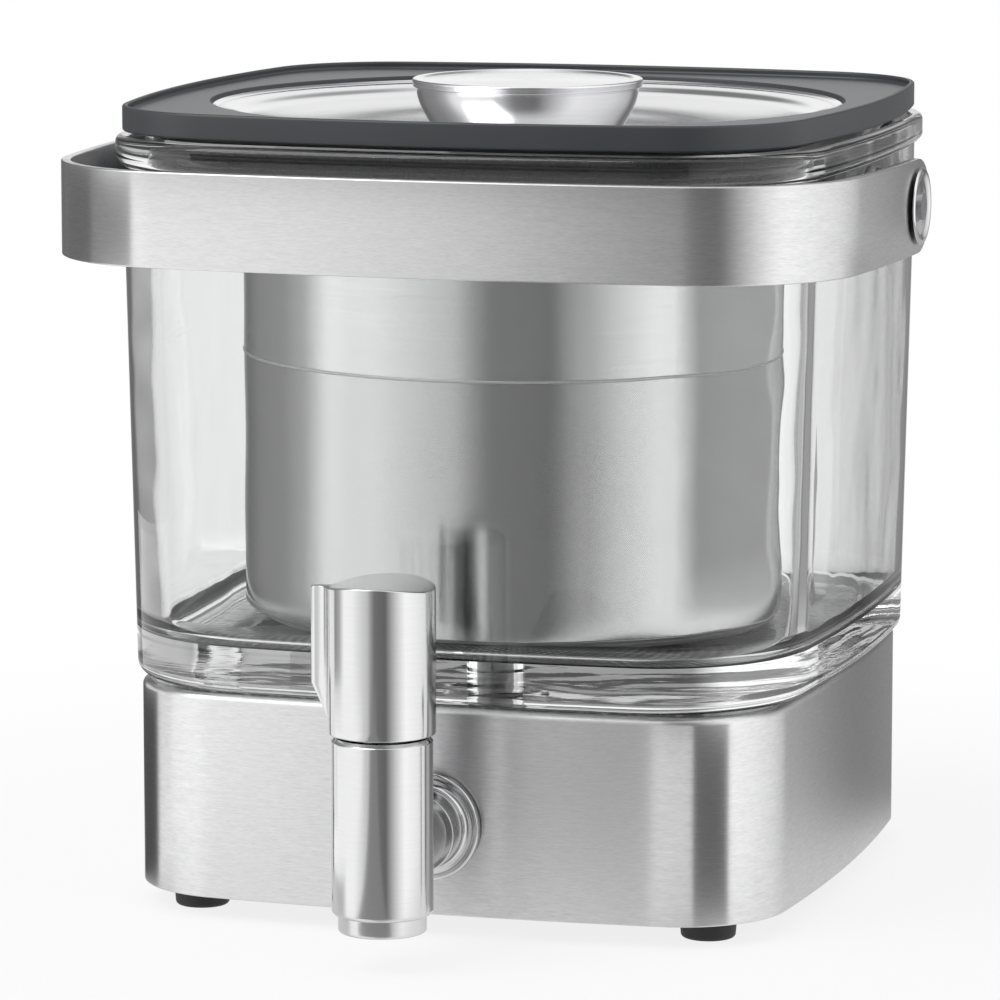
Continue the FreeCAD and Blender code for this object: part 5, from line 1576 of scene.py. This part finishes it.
def pale_floor():
    """White paper that keeps the shadow; mirrored rays see only the sheet near the object."""
    material, tree = new_material("white_paper")
    x, y, z = tree.axes()
    reach = from_axis(x, y)
    paper = tree.node("ShaderNodeBsdfDiffuse", {}, {"Color": colour(PAPER_SHADE)})
    white = tree.glow(WHITE)
    shown = tree.blend(tree.span(reach, CLEAN_START, CLEAN_FULL, CLEAN_SHARE, 1.0), paper, white)
    far = tree.span(reach, NEAR_START, NEAR_END, NEAR_OPEN, 1.0)
    mirrored = tree.blend(far, white, tree.open_air())
    glossy = tree.node("ShaderNodeLightPath", {}, {}, "Is Glossy Ray")
    lit = tree.blend(glossy, paper, mirrored)
    tree.finish(tree.blend(seen_directly(tree), lit, shown))
    material.cycles.emission_sampling = "NONE"
    return material


turns = np.linspace(0, 2 * math.pi, FLOOR_STEPS, endpoint=False)
floor_shape = skin([circle(FLOOR_RADIUS, 0.0, turns), circle(0, 0.0)])
floor = new_object("white_floor", floor_shape, pale_floor())
print("floor with a radius of", FLOOR_RADIUS, "metres")

# %% [markdown]
# ## Cards and the lamp
# In a studio, each bright or dark stripe on a polished piece comes from a card of its own. Here
# each card is one glowing face, near the piece that mirrors it: two lie just above the floor, the
# others stand round the base, the tap, the band, the neck and the steeper. Only mirrored rays see
# them. The steeper's card has soft edges and shows through glass too. One large lamp from the
# left gives the shadow its direction.

# %% Set up cards and lamp
def card_finish(name, level, soft):
    """Even light, or light that fades in over spans of y and z in millimetres."""
    material, tree = new_material(name)
    shine = tree.glow(level)
    if soft:
        x, y, z = tree.axes()
        start, full, low, high = [edge * MM for edge in soft]
        fade = tree.span(y, start, full, 0.0, 1.0) * tree.span(z, low, high, 0.0, 1.0)
        shine = tree.blend(fade, tree.open_air(), shine)
    tree.finish(shine)
    material.cycles.emission_sampling = "NONE"
    return material


def reflector(name, corners, level, soft=None):
    """A card that only mirrored rays can see; a soft one fades and is seen through glass too."""
    card = new_object(name, (corners, [(0, 1, 2, 3)]), card_finish(name, level, soft))
    card.visible_camera = False
    card.visible_transmission = bool(soft)
    card.visible_diffuse = False
    card.visible_shadow = False


def lying(low, high):
    """The corners of a level card just above the floor."""
    flat = [(low[0], low[1]), (high[0], low[1]), (high[0], high[1]), (low[0], high[1])]
    return [(x, y, MM) for x, y in flat]


def standing(start, end, low, high):
    """The corners of an upright card between two places on the floor, in millimetres."""
    ends = [(*start, low), (*end, low), (*end, high), (*start, high)]
    return [(x * MM, y * MM, z * MM) for x, y, z in ends]


reflector("left_reflector", lying((-0.46, -0.45), (-0.13, -0.03)), level=1.35)
reflector("front_reflector", lying((-0.05, -0.55), (0.04, -0.17)), level=0.33)
reflector("corner_light", standing((63, -104), (90.5, -97.5), 2, 63), level=0.95)
reflector("corner_shade", standing((91, -97), (108, -77.4), 2, 64), level=0.15)
reflector("left_shade", standing((-114, -63), (-110, -33), 2, 64), level=0.10)
reflector("band_grey", standing((-105.6, -110), (-127.3, -85.7), 186, 219), level=0.35)
reflector("band_shade", standing((-127.3, -85.7), (-132.4, -57.4), 186, 219), level=0.20)
reflector("neck_shade", standing((-115, -122), (105, -122), 218, 224.5), level=0.03)
reflector("tap_light", standing((-200, -89), (-200, 34), 1, 95), level=1.15)
reflector("steeper_shade", standing((135, -52), (135, 80), 60, 198), level=0.50,
          soft=(-50, -27, 62, 92))

LAMP_PLACE = (-1.1, -1.3, 2.0)
LAMP_AIM = (0, 0, 0.1)
LAMP_SIZE = 1.6
LAMP_POWER = 26.0

lamp_data = bpy.data.lights.new("soft_lamp", "AREA")
lamp_data.size = LAMP_SIZE
lamp_data.energy = LAMP_POWER
lamp = bpy.data.objects.new("soft_lamp", lamp_data)
lamp.location = LAMP_PLACE
lamp.rotation_euler = (Vector(LAMP_AIM) - lamp.location).to_track_quat("-Z", "Y").to_euler()
lamp.visible_transmission = False
scene.collection.objects.link(lamp)
print("one lamp of", LAMP_POWER, "watts")
